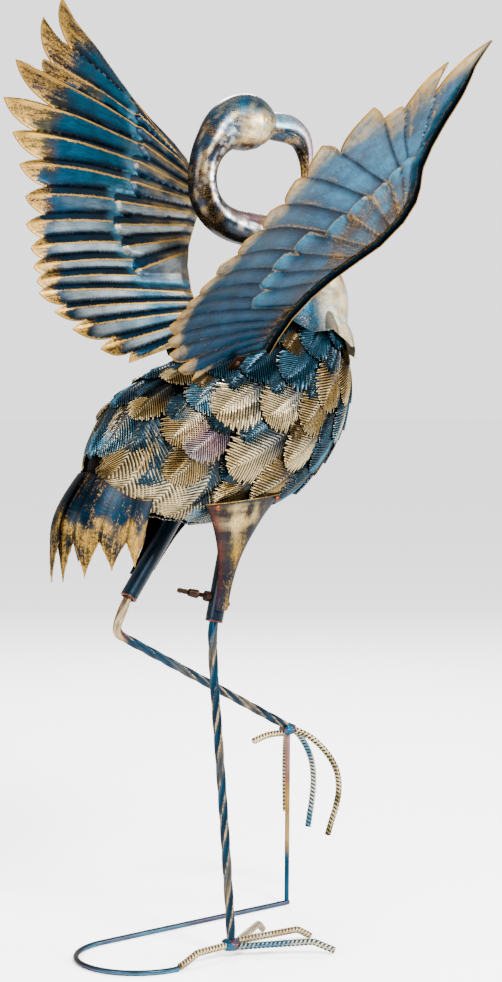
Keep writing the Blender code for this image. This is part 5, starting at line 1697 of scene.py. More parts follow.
@dataclass
class NeckAndHead:
    """Head, neck and chest in one shell, hollow from the chest down."""

    # Place ahead, height, reach in the mid-plane and reach to the side
    rings: tuple[Ring, ...] = (
        (-104.0, 893.0, 9.0, 9.0), (-100.0, 895.0, 18.0, 16.0), (-90.0, 899.0, 27.0, 23.0),
        (-74.0, 902.0, 31.5, 27.0), (-58.0, 900.0, 30.5, 26.0), (-41.0, 893.0, 26.0, 23.0),
        (-25.0, 878.0, 20.5, 19.5), (-14.0, 860.0, 17.5, 17.0), (-9.0, 838.0, 16.5, 16.0),
        (-13.0, 816.0, 17.0, 16.5), (-27.0, 799.0, 17.5, 17.0), (-48.0, 789.0, 18.5, 18.0),
        (-76.0, 785.0, 19.5, 19.0), (-104.0, 780.0, 23.0, 21.5), (-131.0, 768.0, 31.0, 27.0),
        (-149.0, 745.0, 43.0, 36.0), (-155.0, 717.0, 57.0, 49.0), (-145.0, 692.0, 69.5, 61.5),
        (-139.0, 669.0, 79.0, 72.0),
    )
    crown: Place = (0.0, -107.0, 892.5)
    hollow_from: int = 14
    sheet: float = 2.0
    jags: int = 8
    jag_depth: float = 13.0
    sides: int = 64
    fineness: int = 7
    eye: Span = (-78.0, 903.0)
    eye_radius: float = 3.6

    def fine_rings(self) -> Array:
        """Return the rings with more between them along smooth curves."""
        return finer_rings(self.rings, self.fineness)[1]

    def ring_points(self, rings: Array, shrink: float) -> Array:
        """Return places of all rings, with each wall moved in by shrink.

        Args:
            rings: the fine rings.
            shrink: millimetres.

        Returns:
            Places by ring and by side.
        """
        centres, outer = spine(rings)
        angle = turns(self.sides)
        side_reach = np.cos(angle)[None, :] * (rings[:, 3] - shrink)[:, None]
        outer_reach = np.sin(angle)[None, :] * (rings[:, 2] - shrink)[:, None]
        points = centres[:, None, :] + outer[:, None, :] * outer_reach[..., None]
        points[..., 0] += side_reach
        return points

    def build(self) -> Piece:
        """Make the shell and return it.

        Returns:
            The new piece.
        """
        rings = self.fine_rings()
        outer = self.ring_points(rings, 0.0)
        inner = self.ring_points(rings, self.sheet)[self.hollow_from * self.fineness:]
        slope = outer[-1] - outer[-1 - self.fineness]
        slope /= np.linalg.norm(slope, axis=1, keepdims=True)
        angle = turns(self.sides)
        tooth = np.abs(((angle * self.jags / (2 * np.pi)) % 1.0) * 2 - 1)
        shift = self.jag_depth * ((1 - tooth) - 0.5)
        for wall in (outer, inner):
            for back in range(self.fineness + 1):
                share = (1 - back / (self.fineness + 1))**1.3
                wall[-1 - back] += slope * (shift * share)[:, None]
        self.dress_surface(outer, rings, angle)
        rows = np.concatenate([outer, inner[::-1]])
        count = len(rows)
        points = rows.reshape(-1, 3)
        total = len(points)
        points = np.concatenate([points, [self.crown], rows[-1].mean(axis=0)[None, :]])
        around = np.append(np.tile(np.sin(angle), count), [0.0, 0.0])
        is_inner = np.arange(total + 2) >= outer.shape[0] * self.sides
        is_inner[total] = False
        run = np.append(np.repeat(np.arange(count) / (count - 1), self.sides), [0.0, 1.0])
        tint, wear = self.paint(points, around, is_inner)
        skin = Skin()
        faces = capped_faces(count, self.sides)
        skin.add(framed(points), faces, tint, wear, np.stack([run, around * 0.05], axis=1))
        return skin.piece("neck_head_chest", "neck", ["neck_head_chest"], 45.0)

    def dress_surface(self, outer: Array, rings: Array, angle: Array) -> None:
        """Add the seams, the eyes and the hammered unevenness to the outer wall.

        Args:
            outer: places of the wall, changed in place.
            rings: the fine rings.
            angle: place of each point round its ring.
        """
        radial = outer - spine(rings)[0][:, None, :]
        radial /= np.linalg.norm(radial, axis=2, keepdims=True)
        seam = hump(np.abs(np.sin(angle)), 1.0, 0.012)
        fade = ramp(np.arange(len(rings), dtype=float), 6.0, 16.0)[:, None]
        flat = outer.reshape(-1, 3)
        dents = waves(flat, 34.0, 71).reshape(outer.shape[:2]) * 0.5
        fluted = self.flutes(angle, len(rings))
        amount = -0.5 * seam[None, :] * fade * 0.8 - 0.35 + dents * fade * 0.5 + fluted
        eye = np.array((0.0, *self.eye))
        reach = np.linalg.norm((outer - eye)[..., 1:], axis=2)
        bead = np.sqrt(np.clip(1 - (reach / self.eye_radius)**2, 0, None)) * 2.2
        rim = 0.8 * hump(reach, self.eye_radius * 1.45, 1.0)
        amount = amount + (bead + rim) * (np.abs(np.cos(angle))[None, :] > 0.35)
        outer += radial * amount[..., None]

    def flutes(self, angle: Array, count: int) -> Array:
        """Return the depth of the folds that run up the chest from its jagged edge."""
        wave = 0.5 - 0.5 * np.cos(self.jags * angle)
        start, end = (self.hollow_from + 0.5) * self.fineness, (len(self.rings) - 1) * self.fineness
        share = ramp(np.arange(count, dtype=float), start, end)[:, None]
        return -2.2 * share * (1 - wave)[None, :]

    def paint(self, points: Array, around: Array, inside: Array) -> Layers:
        """Return base paint, with painted sheen and highlights, and dry brush of the shell.

        Args:
            points: places in millimetres.
            around: 1 on the outer side of the neck's curve and -1 inside it.
            inside: which points are on the hollow's wall.

        Returns:
            Tint and wear for each point.
        """
        count = len(points)
        patches = waves(points, 60.0, 21)
        small = waves(points, 16.0, 23, 4)
        fleck = waves(points, 5.5, 25, 2)
        y, z = points[:, 1], points[:, 2]
        tint = mix(coat(Paint.TEAL, count), Paint.BRONZE, 0.25 + 0.5 * small)
        head = ramp(z, 868.0, 888.0)
        chest = 1 - ramp(z, 735.0, 765.0)
        cheek = head * (1 - ramp(z, 905.0, 918.0)) * ramp(-y, 40.0, 62.0)
        tint = mix(tint, Paint.CREAM, cheek * (0.75 + 0.3 * small))
        tint = mix(tint, Paint.TURQUOISE, head * ramp(z, 900.0, 916.0) * 0.65)
        mid = ramp(z, 796.0, 812.0) * (1 - head)
        # Painted sheen: violet on the outer side of the neck's curve
        tint = mix(tint, Paint.VIOLET, mid * ramp(around, 0.1, 0.9) * 0.7)
        tint = mix(tint, Paint.BRONZE, mid * (0.55 + 0.3 * patches))
        tint = mix(tint, Paint.BROWN, mid * (0.1 + 0.5 * np.clip(small, 0, 1)))
        tint = mix(tint, Paint.BEIGE, (1 - chest) * ramp(waves(points, 8.0, 27, 2), 0.05, 0.7) * 0.55)
        low = (1 - ramp(z, 794.0, 812.0)) * ramp(z, 740.0, 766.0)
        # Painted highlight: pink on the outer side of the lower neck
        tint = mix(tint, Paint.PINK, low * ramp(around, 0.0, 0.85) * 0.6)
        tint = mix(tint, Paint.BROWN, low * (1 - ramp(around, -0.6, 0.2)) * 0.75)
        tint = mix(tint, Paint.TURQUOISE, chest * 0.4 * (1 - ramp(-y, 150.0, 195.0)))
        # The cream front of the chest is partly its cream paint and partly a painted highlight
        front = chest * ramp(-y, 116.0, 156.0)
        tint = mix(tint, Paint.CREAM, front * 0.9)
        # Painted highlight: the front of the chest and a band along the middle of the neck, flecked with
        # silver
        highlight_band = np.maximum(front, hump(around, 0.15, 0.35) * (1 - chest))
        tint = mix(tint, Paint.SILVER, highlight_band * ramp(fleck, 0.0, 0.7) * 0.85)
        tint = mix(tint, Paint.BROWN, (1 - chest) * ramp(-fleck, 0.25, 0.9) * 0.6)
        tint = mix(tint, Paint.STEEL_BLUE, front * ramp(-fleck, 0.1, 0.6) * 0.55)
        tint = mix(tint, Paint.GOLD, chest * ramp(-y, 120.0, 200.0) * np.clip(small, 0, 1) * 0.8)
        tint = mix(tint, Paint.NAVY, 0.75 * inside)
        reach = np.hypot(y - self.eye[0], z - self.eye[1])
        tint = mix(tint, Paint.GOLD, (reach < self.eye_radius * 1.1).astype(float) * 0.9)
        wear = 0.44 + 0.09 * small + 0.05 * patches + 0.10 * cheek
        wear = wear + 0.14 * front * np.clip(small + 0.4, 0, 1)
        # Painted highlight: the chest front and the highlight band are lightened, and the cheek with them
        tint = tint * (0.95 + 0.9 * np.clip(front + 0.6 * cheek + 0.4 * highlight_band, 0, 1))[:, None]
        return tint, np.where(inside, 0.1, wear - 0.06 * mid * (1 - np.clip(small, 0, 1)))


@dataclass
class Bill:
    """The bent bill, welded to the front of the head."""

    # Place ahead, height, reach in the mid-plane and reach to the side
    rings: tuple[Ring, ...] = (
        (-96.0, 901.0, 14.0, 10.0), (-112.0, 901.0, 15.5, 11.0), (-134.0, 900.0, 16.5, 10.5),
        (-150.0, 893.0, 15.0, 9.5), (-158.0, 880.0, 12.5, 8.0), (-160.5, 864.0, 8.5, 6.0),
        (-158.5, 849.0, 4.5, 4.0), (-155.5, 838.0, 1.6, 1.8),
    )
    sides: int = 48
    fineness: int = 10
    mouth: float = -0.12

    def build(self) -> Piece:
        """Make the bill and return it.

        Returns:
            The new piece.
        """
        places, rings = finer_rings(self.rings, self.fineness)
        centres, upward = spine(rings)
        angle = turns(self.sides)
        height = np.sin(angle)
        lip = hump(height, self.mouth, 0.09) * (np.abs(np.cos(angle)) > 0.3)
        groove = hump(height, self.mouth - 0.17, 0.08) * (np.abs(np.cos(angle)) > 0.3)
        swell = 1.0 + 0.07 * lip - 0.09 * groove - 0.02
        fade = ramp(np.arange(len(rings), dtype=float), 10.0, 22.0)[:, None]
        swell = 1.0 + (swell[None, :] - 1.0) * fade
        rise = (height[None, :] * rings[:, 2:3] * swell)[..., None]
        points = centres[:, None, :] + upward[:, None, :] * rise
        points[..., 0] += np.cos(angle)[None, :] * rings[:, 3:4] * swell
        flat = with_hubs(points)
        faces = capped_faces(len(rings), self.sides)
        level = np.append(np.tile(height, len(rings)), [0.0, 0.0])
        run = np.append(np.repeat(places / places[-1], self.sides), [0.0, 1.0])
        tint, wear = self.paint(flat, level, run)
        skin = Skin()
        skin.add(framed(flat), faces, tint, wear, np.stack([run * 0.1, level * 0.02], axis=1))
        return skin.piece("bill", "bill", ["bill"], 50.0)

    def paint(self, points: Array, level: Array, run: Array) -> Layers:
        """Return base paint and dry brush: pale above the mouth, teal then brown below.

        Args:
            points: places in millimetres.
            level: 1 at the top of the bill and -1 below.
            run: 0 at the head and 1 at the tip.

        Returns:
            Tint and wear for each point.
        """
        count = len(points)
        small = waves(points, 12.0, 41, 4)
        upper = ramp(level, self.mouth - 0.05, self.mouth + 0.05)
        tint = mix(coat(Paint.TEAL, count), Paint.BRONZE, ramp(run, 0.45, 0.8) * 0.8)
        tint = mix(tint, Paint.BROWN, (1 - upper) * ramp(run, 0.3, 0.6) * np.clip(0.5 - small, 0, 1))
        tint = mix(tint, Paint.GOLD, np.clip(small, 0, 1) * 0.8)
        tint = mix(tint, Paint.PALE_BLUE, upper * 0.75)
        tint = mix(tint, Paint.PINK, upper * ramp(run, 0.15, 0.5) * 0.55)
        tint = mix(tint, Paint.SILVER, upper * ramp(level, 0.5, 0.95) * 0.6)
        line = hump(level, self.mouth - 0.12, 0.06)
        tint = mix(tint, Paint.NAVY, line * 0.85 * ramp(run, 0.1, 0.2))
        tint = mix(tint, Paint.NAVY, ramp(run, 0.86, 1.0) * 0.7)
        wear = 0.40 + 0.10 * small * (1 - upper) + 0.12 * (1 - upper) - 0.16 * upper
        return tint * (0.55 + 0.6 * upper)[:, None], wear


@dataclass
class Tail:
    """The pointed feathers round the back of the body, in two overlapping sheets."""

    centre_y: float = 99.0
    radii: Span = (40.0, 47.5)
    top: float = 521.8
    drop: float = 113.0
    notch: float = 70.0
    flare: float = 34.0
    feather_angle: float = 27.0
    feathers: int = 4
    slope: float = 30.0
    side_cut: float = 0.40
    side_sweep: float = 0.55
    flare_drop: float = 62.0
    spread: float = 0.2
    ridge: float = 2.4
    barbs: int = 26
    sheet: float = 1.2
    # Name, angle where the first feather starts, and how far the sheet stands out
    sheets: tuple[tuple[str, float, float], ...] = (
        ("tail_sheet_right", -102.0, 0.0), ("tail_sheet_left", -6.0, 5.6),
    )
    rows: int = 44
    columns: int = 20

    def build(self) -> list[Piece]:
        """Make both sheets and return them."""
        return [self.sheet_piece(*row) for row in self.sheets]

    def sheet_piece(self, name: str, first: float, step: float) -> Piece:
        """Make one sheet of feathers.

        Args:
            name: the sheet's node.
            first: angle where its first feather starts, in degrees.
            step: millimetres that it stands out.

        Returns:
            The new piece.
        """
        shares = np.linspace(0, 1, self.rows)
        places = np.arange(self.feathers * self.columns + 1) / self.columns
        share = np.repeat(shares[:, None], len(places), axis=1)
        feather = np.repeat(places[None, :], self.rows, axis=0)
        across = 2.0 * (feather % 1.0) - 1.0
        angle = np.radians(first + self.feather_angle * feather)
        length = self.drop + (self.notch - self.drop) * np.abs(across)**0.8
        drop = length * share * (1 - self.side_cut * np.sin(angle)**2)
        flare = self.flare * np.sin(np.minimum(1.0, drop / self.flare_drop) * np.pi / 2) + step
        crest = (1 - np.abs(across))**0.8 * self.ridge
        barbs = np.sin(2 * np.pi * (share * self.barbs + np.abs(across) * 3.2))
        barbs = 0.22 * barbs * ramp(np.abs(across), 0.05, 0.3)
        flare = flare + crest * share + barbs * ramp(share, 0.02, 0.1)
        x = (self.radii[0] + flare * self.spread) * np.sin(angle)
        y = self.centre_y + self.radii[1] * np.cos(angle)
        y = y + flare * (self.side_sweep + (1 - self.side_sweep) * np.cos(angle)**2)
        z = self.top - drop - self.slope * np.sin(angle)**2
        grid = framed(np.stack([x, y, z], axis=2).reshape(-1, 3)).reshape(*x.shape, 3)
        middle = np.array(SHIFT) + np.array((0.0, self.centre_y, 0.0)) * MM
        if np.sum(surface_normals(grid)[1, 5] * (grid[1, 5] - middle) * np.array((1, 1, 0))) < 0:
            grid, share, feather, across = (array[:, ::-1] for array in (grid, share, feather, across))
        skin = Skin()
        flat = grid.reshape(-1, 3) / MM
        front = self.paint(flat, share.ravel(), across.ravel())
        count = len(flat)
        back = mix(coat(Paint.NAVY, count), Paint.VIOLET, ramp(share.ravel(), 0.5, 1.0) * 0.5)
        flow = np.stack([share.ravel() * 0.1, feather.ravel() * 0.025], axis=1)
        add_plate(skin, grid, self.sheet * MM, front, (back, np.full(count, 0.3)), flow)
        return skin.piece(name, "tail", [name], 50.0)

    def paint(self, points: Array, share: Array, across: Array) -> Layers:
        """Return base paint and dry brush: teal above, a gold band and gold or teal tips.

        Args:
            points: places in millimetres.
            share: 0 at the rim and 1 at the end of a feather.
            across: places across a feather, -1 to 1.

        Returns:
            Tint and wear for each point.
        """
        count = len(points)
        patches = waves(points, 50.0, 51)
        small = waves(points, 14.0, 53)
        tint = mix(coat(Paint.DEEP_TEAL, count), Paint.TEAL, 0.3 + 0.4 * patches)
        tint = mix(tint, Paint.BRONZE, 0.5 * (1 - ramp(share, 0.0, 0.10)) + 0.25 * np.clip(small, 0, 1))
        band = ramp(share + 0.06 * small, 0.42, 0.62)
        tint = mix(tint, Paint.OLIVE, band * (0.45 + 0.4 * small))
        tint = mix(tint, Paint.GOLD, band * ramp(patches, -0.2, 0.6) * 0.6)
        tint = mix(tint, Paint.NAVY, 0.75 * ramp(np.abs(across), 0.82, 1.0))
        tint = mix(tint, Paint.BRONZE, ramp(share, 0.80, 1.0) * 0.5)
        tint = tint * (0.34 + 0.3 * band)[:, None]
        wear = 0.34 + 0.24 * band + 0.20 * hump(across, 0.0, 0.1) + 0.12 * small
        return tint, wear - 0.2 * ramp(np.abs(across), 0.8, 1.0) + 0.3 * ramp(share, 0.95, 1.0)


@dataclass
class Thigh:
    """A hip tube with its cover, the cover's rim screws and the thumb screw."""

    label: str
    side: int
    low: Place
    high: Place
    bottom: float
    screw_toward: Place
    screw_height: float
    top: float = 492.0
    top_reach: float = 58.0
    top_bulge: float = 18.0
    top_x: float = 54.5
    top_back: float = 5.0
    turn: float = math.radians(8.0)
    rim_rise: float = 4.0
    narrowing: float = 2.5
    tip_rear_limit: float = 45.0
    tip_length: float = 6.0
    fit: float = 1.3
    sheet: float = 1.6
    tube_radius: float = 9.5
    tube_wall: float = 2.8

    def axis_point(self, height: Array) -> Array:
        """Return points of the tube's axis at heights."""
        low, high = np.array(self.low), np.array(self.high)
        share = (np.atleast_1d(height) - low[2]) / (high[2] - low[2])
        return low + np.outer(share, high - low)

    def lean(self) -> Array:
        """Return the direction up the tube."""
        return axis_of(np.array(self.high) - np.array(self.low))

    def cover_grid(self, rows: int, columns: int, grow: float = 0.0) -> Array:
        """Return the cover's middle surface, moved out by grow.

        Args:
            rows: how many rows from rim to tip.
            columns: how many columns round it.
            grow: millimetres.

        Returns:
            Places by row and by column.
        """
        lean = self.lean()
        tip_bulge = self.tube_radius + self.sheet / 2 + self.fit
        share = np.linspace(0, 1, rows)**1.4
        centre = self.axis_point(self.top + (self.bottom - self.top) * share)
        narrow = (1 - share)**self.narrowing
        reach = tip_bulge / lean[2] + (self.top_reach - tip_bulge / lean[2]) * narrow + grow
        bulge = tip_bulge + (self.top_bulge - tip_bulge) * narrow + grow
        centre[:, 0] += (self.side * self.top_x - centre[:, 0]) * narrow
        centre[:, 1] += self.top_back * narrow
        turn = np.linspace(0, 1, columns)
        rear = 90.0 + (self.tip_rear_limit - 90.0) * share
        angle = np.radians(-90.0 + (rear[:, None] + 90.0) * turn[None, :])
        rearward = reach[:, None] * np.sin(angle)
        outward = bulge[:, None] * np.cos(angle) + rearward * math.sin(self.turn) * narrow[:, None]
        grid = np.repeat(centre[:, None, :], columns, axis=1)
        grid[..., 0] += self.side * outward
        grid[..., 1] += rearward
        grid[..., 2] -= self.rim_rise * narrow[:, None] * np.sin(angle)
        tip_share = ramp(share, 0.86, 1.0)
        grid -= lean * (self.tip_length * tip_share[:, None] * np.cos(angle))[..., None]
        return grid

    def build_cover(self) -> Piece:
        """Make the cover, with a turned rim.

        Returns:
            The new piece.
        """
        rows, columns = 60, 40
        grid = framed(self.cover_grid(rows, columns).reshape(-1, 3)).reshape(rows, columns, 3)
        normals = surface_normals(grid)
        if normals[5, columns // 2, 0] * self.side < 0:
            grid = grid[:, ::-1]
            normals = surface_normals(grid)
        share = np.repeat(np.linspace(0, 1, rows)[:, None], columns, axis=1)
        turn = np.repeat(np.linspace(-1, 1, columns)[None, :], rows, axis=0)
        if self.side > 0:
            turn = -turn
        dents = waves(grid.reshape(-1, 3) / MM, 38.0, 61 + self.side).reshape(rows, columns)
        bead = 0.5 * hump(share, 0.025, 0.02)
        lift = 0.5 * self.sheet + 0.35 * dents * ramp(share, 0.05, 0.2) + bead
        grid = grid + normals * (lift * MM)[..., None]
        count = rows * columns
        flat = grid.reshape(-1, 3) / MM
        tint, wear = self.cover_paint(flat, share.ravel(), turn.ravel())
        inner = coat(Paint.NAVY, count)
        flow = np.stack([share.ravel() * 0.12, turn.ravel() * 0.05], axis=1)
        skin = Skin()
        add_plate(skin, grid, self.sheet * MM, (tint, wear), (inner, np.full(count, 0.2)), flow)
        return skin.piece(f"thigh_cover_{self.label}", "thigh", [f"thigh_cover_{self.label}"], 50.0)

    def cover_paint(self, points: Array, share: Array, turn: Array) -> Layers:
        """Return base paint and dry brush: teal with a broad gold streak, plum at the edges.

        Args:
            points: places in millimetres.
            share: 0 at the rim and 1 at the tip.
            turn: places round it, -1 to 1.

        Returns:
            Tint and wear for each point.
        """
        count = len(points)
        patches = waves(points, 45.0, 63)
        small = waves(points, 13.0, 65, 4)
        tint = mix(coat(Paint.DEEP_TEAL, count), Paint.BRONZE, 0.45 + 0.4 * patches)
        streak = hump(turn - 0.2 * share, -0.22, 0.42) * ramp(share, 0.04, 0.2)
        tint = mix(tint, Paint.OLIVE, streak * (0.5 + 0.45 * small))
        tint = mix(tint, Paint.CREAM, streak * (1 - ramp(share, 0.3, 0.6)) * (0.35 + 0.6 * small))
        tint = mix(tint, Paint.DEEP_TEAL, ramp(patches, 0.0, 0.6) * 0.7)
        tint = mix(tint, Paint.COPPER, 0.5 * ramp(np.abs(turn), 0.5, 0.9) * (0.6 + 0.4 * small))
        tint = mix(tint, Paint.PLUM, 0.7 * ramp(np.abs(turn), 0.80, 1.0))
        tint = mix(tint, Paint.DEEP_TEAL, 0.6 * ramp(share, 0.75, 1.0))
        wear = 0.34 + 0.26 * streak + 0.10 * small + 0.45 * (1 - ramp(share, 0.012, 0.035))
        return tint, wear

    def build_tube(self) -> Piece:
        """Make the socket tube, with eased rims, up into the body.

        Returns:
            The new piece.
        """
        lean = self.lean()
        side = axis_of(np.array((1.0, 0.0, 0.0)) - lean * lean[0])
        up = np.cross(lean, side)
        sides = 40
        angle = turns(sides)
        outer, inner = self.tube_radius, self.tube_radius - self.tube_wall
        length = np.linalg.norm(np.array(self.high) - np.array(self.low)) + 8.0
        profile = [(outer - 0.7, 0.0), (outer, 0.6), (outer, 3.0), (outer - 0.35, 3.5), (outer, 4.0),
                   (outer, 30.0), (outer, 60.0), (outer, length), (inner, length), (inner, 40.0),
                   (inner, 1.0), (inner + 0.7, 0.0)]
        around = np.outer(np.cos(angle), side) + np.outer(np.sin(angle), up)
        rings = [np.array(self.low) + lean * run + around * reach for reach, run in profile]
        points = np.concatenate(rings)
        count = len(points)
        run = np.repeat([run for _, run in profile], sides)
        depth = np.repeat([reach for reach, _ in profile], sides)
        tint = mix(coat(Paint.PLUM, count), Paint.DEEP_TEAL, 0.20 + 0.3 * waves(points, 30.0, 67))
        tint = mix(tint, Paint.STEEL_BLUE, np.full(count, 0.04))
        tint = mix(tint, Paint.BLACK, (depth < outer - 1.0) * 0.8)
        wear = 0.30 + 0.6 * (1 - ramp(run, 0.3, 1.2)) * (depth > inner + 0.5)
        skin = Skin()
        skin.add(framed(points), ring_faces(len(profile), sides, closed=True), tint, wear,
                 np.stack([run * MM, np.tile(angle, len(profile)) * 0.01], axis=1))
        return skin.piece(f"hip_tube_{self.label}", "tube", [f"hip_tube_{self.label}"], 30.0)

    def build_rim_screws(self) -> list[Piece]:
        """Make the small domed screws on the cover's rim.

        Returns:
            The front and the rear screw.
        """
        made = []
        for place in ("front", "rear"):
            name = f"thigh_screw_{self.label}_{place}"
            low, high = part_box(name)
            seat = np.array((low + high) / 2)
            seat[0] = high[0] if self.side < 0 else low[0]
            axis = np.array((float(self.side), 0.0, 0.0))
            profile = [(3.3, 0.0), (3.4, 0.5), (3.1, 1.2), (2.3, 1.9), (1.4, 2.3), (1.2, 1.6), (0.4, 1.5)]
            tint = mix(coat(Paint.COPPER, 1), Paint.GOLD, np.array([0.3]))
            made.append(turned_piece(name, "screw", seat, axis, profile, 24, tint[0], 0.75))
        return made

    def build_weld_spot(self) -> Piece:
        """Make the drop of braze that holds the cover's tip to its tube.

        Returns:
            The new piece.
        """
        seat = self.cover_grid(60, 40)[-2, 7]
        toward = seat - self.axis_point(np.array(seat[2]))[0]
        profile = [(1.2, -0.6), (2.1, -0.2), (2.6, 0.8), (2.4, 1.8), (1.6, 2.6), (0.6, 2.9)]
        tint = mix(coat(Paint.COPPER, 1), Paint.GOLD, np.array([0.25]))[0]
        return turned_piece(f"weld_spot_{self.label}", "screw", framed(seat[None, :])[0], axis_of(toward),
                            profile, 20, tint, 0.7, stands_for=False)

    def build_thumb_screw(self) -> list[Piece]:
        """Make the nut, the threaded screw and its winged handle.

        Returns:
            The screw and its handle.
        """
        name = f"thumb_screw_{self.label}"
        lean = self.lean()
        centre = self.axis_point(np.array(self.screw_height))[0]
        axis = np.array(self.screw_toward)
        axis = axis_of(axis - lean * (axis @ lean))
        seat = framed((centre + axis * (self.tube_radius + 0.3))[None, :])[0]
        profile = [(5.2, 0.0), (5.8, 0.6), (5.8, 5.9), (5.2, 6.5), (2.6, 6.6)]
        for k in range(11):
            profile += [(2.5, 6.8 + k * 0.62), (2.15, 7.1 + k * 0.62)]
        profile += [(2.4, 13.9), (4.5, 15.0), (4.8, 15.6), (4.6, 21.0), (4.1, 25.3), (3.4, 26.0),
                    (0.8, 26.0)]
        tint = mix(coat(Paint.BRONZE, 1), Paint.PLUM, np.array([0.35]))[0]
        screw = turned_piece(name, "screw", seat, axis, profile, 36, tint, 0.42, squared=5.0)
        return [screw, self.build_handle(seat, axis, lean, tint)]

    def build_handle(self, seat: Array, axis: Array, lean: Array, tint: Array) -> Piece:
        """Make the flat rounded grip that the screw is turned by.

        Args:
            seat: where the screw starts, in metres.
            axis: which way the screw runs.
            lean: the direction up the tube.
            tint: base paint.

        Returns:
            The new piece.
        """
        across = np.cross(axis, lean)
        start = 26.3
        turn = turns(32)
        reach = eased_square(np.cos(turn), 0.6) * 6.4
        height = eased_square(np.sin(turn), 0.6) * 3.0
        waist = 1.0 - 0.22 * hump(reach, 0.0, 2.2)
        rows = []
        for depth, inset in ((-1.45, 0.9), (-1.1, 0.985), (1.1, 0.985), (1.45, 0.9)):
            along = start + 6.5 + reach * inset
            rows.append(seat + (np.outer(along, axis) + np.outer(height * inset * waist, lean)
                                + across * depth) * MM)
        points = with_hubs(rows)
        faces = capped_faces(len(rows), len(turn))
        skin = Skin()
        skin.add(points, faces, np.tile(tint, (len(points), 1)), 0.45, points[:, 1:])
        name = f"thumb_screw_{self.label}_handle"
        return skin.piece(name, "screw", [name], 40.0)

    def build(self) -> list[Piece]:
        """Make the whole thigh and return its pieces."""
        made = [self.build_cover(), self.build_tube()]
        return made + self.build_rim_screws() + [self.build_weld_spot()] + self.build_thumb_screw()


def turned_piece(name: str, key: str, seat: Array, axis: Array, profile: list[Span],
                 sides: int, tint: Array, wear: float, squared: float = 0.0,
                 stands_for: bool = True) -> Piece:
    """Make a small turned part from a profile.

    Args:
        name: the piece and the node that it stands for.
        key: its finish.
        seat: where the profile starts, in metres.
        axis: which way it runs.
        profile: radius and run of each ring in millimetres.
        sides: points in each ring.
        tint: base paint.
        wear: share of dry brush.
        squared: run up to which the section is cut to six flats, 0 for none.
        stands_for: whether a node of this name is replaced.

    Returns:
        The new piece.
    """
    hint = np.array((0.0, 0.0, 1.0)) if abs(axis[2]) < 0.9 else np.array((1.0, 0.0, 0.0))
    side = axis_of(np.cross(axis, hint))
    up = np.cross(axis, side)
    angle = turns(sides)
    flats = np.cos(np.pi / 6) / np.cos((angle + np.pi / 6) % (np.pi / 3) - np.pi / 6)
    rings = []
    for reach, run in profile:
        scale = flats if 0.0 < run < squared + 1.0 and squared else 1.0
        around = np.outer(np.cos(angle), side) + np.outer(np.sin(angle), up)
        rings.append(seat + axis * run * MM + around * (reach * scale * np.ones(sides))[:, None] * MM)
    points = with_hubs(rings)
    skin = Skin()
    skin.add(points, capped_faces(len(rings), sides), np.tile(tint, (len(points), 1)), wear, points[:, 1:])
    return skin.piece(name, key, [name] if stands_for else [], 30.0)


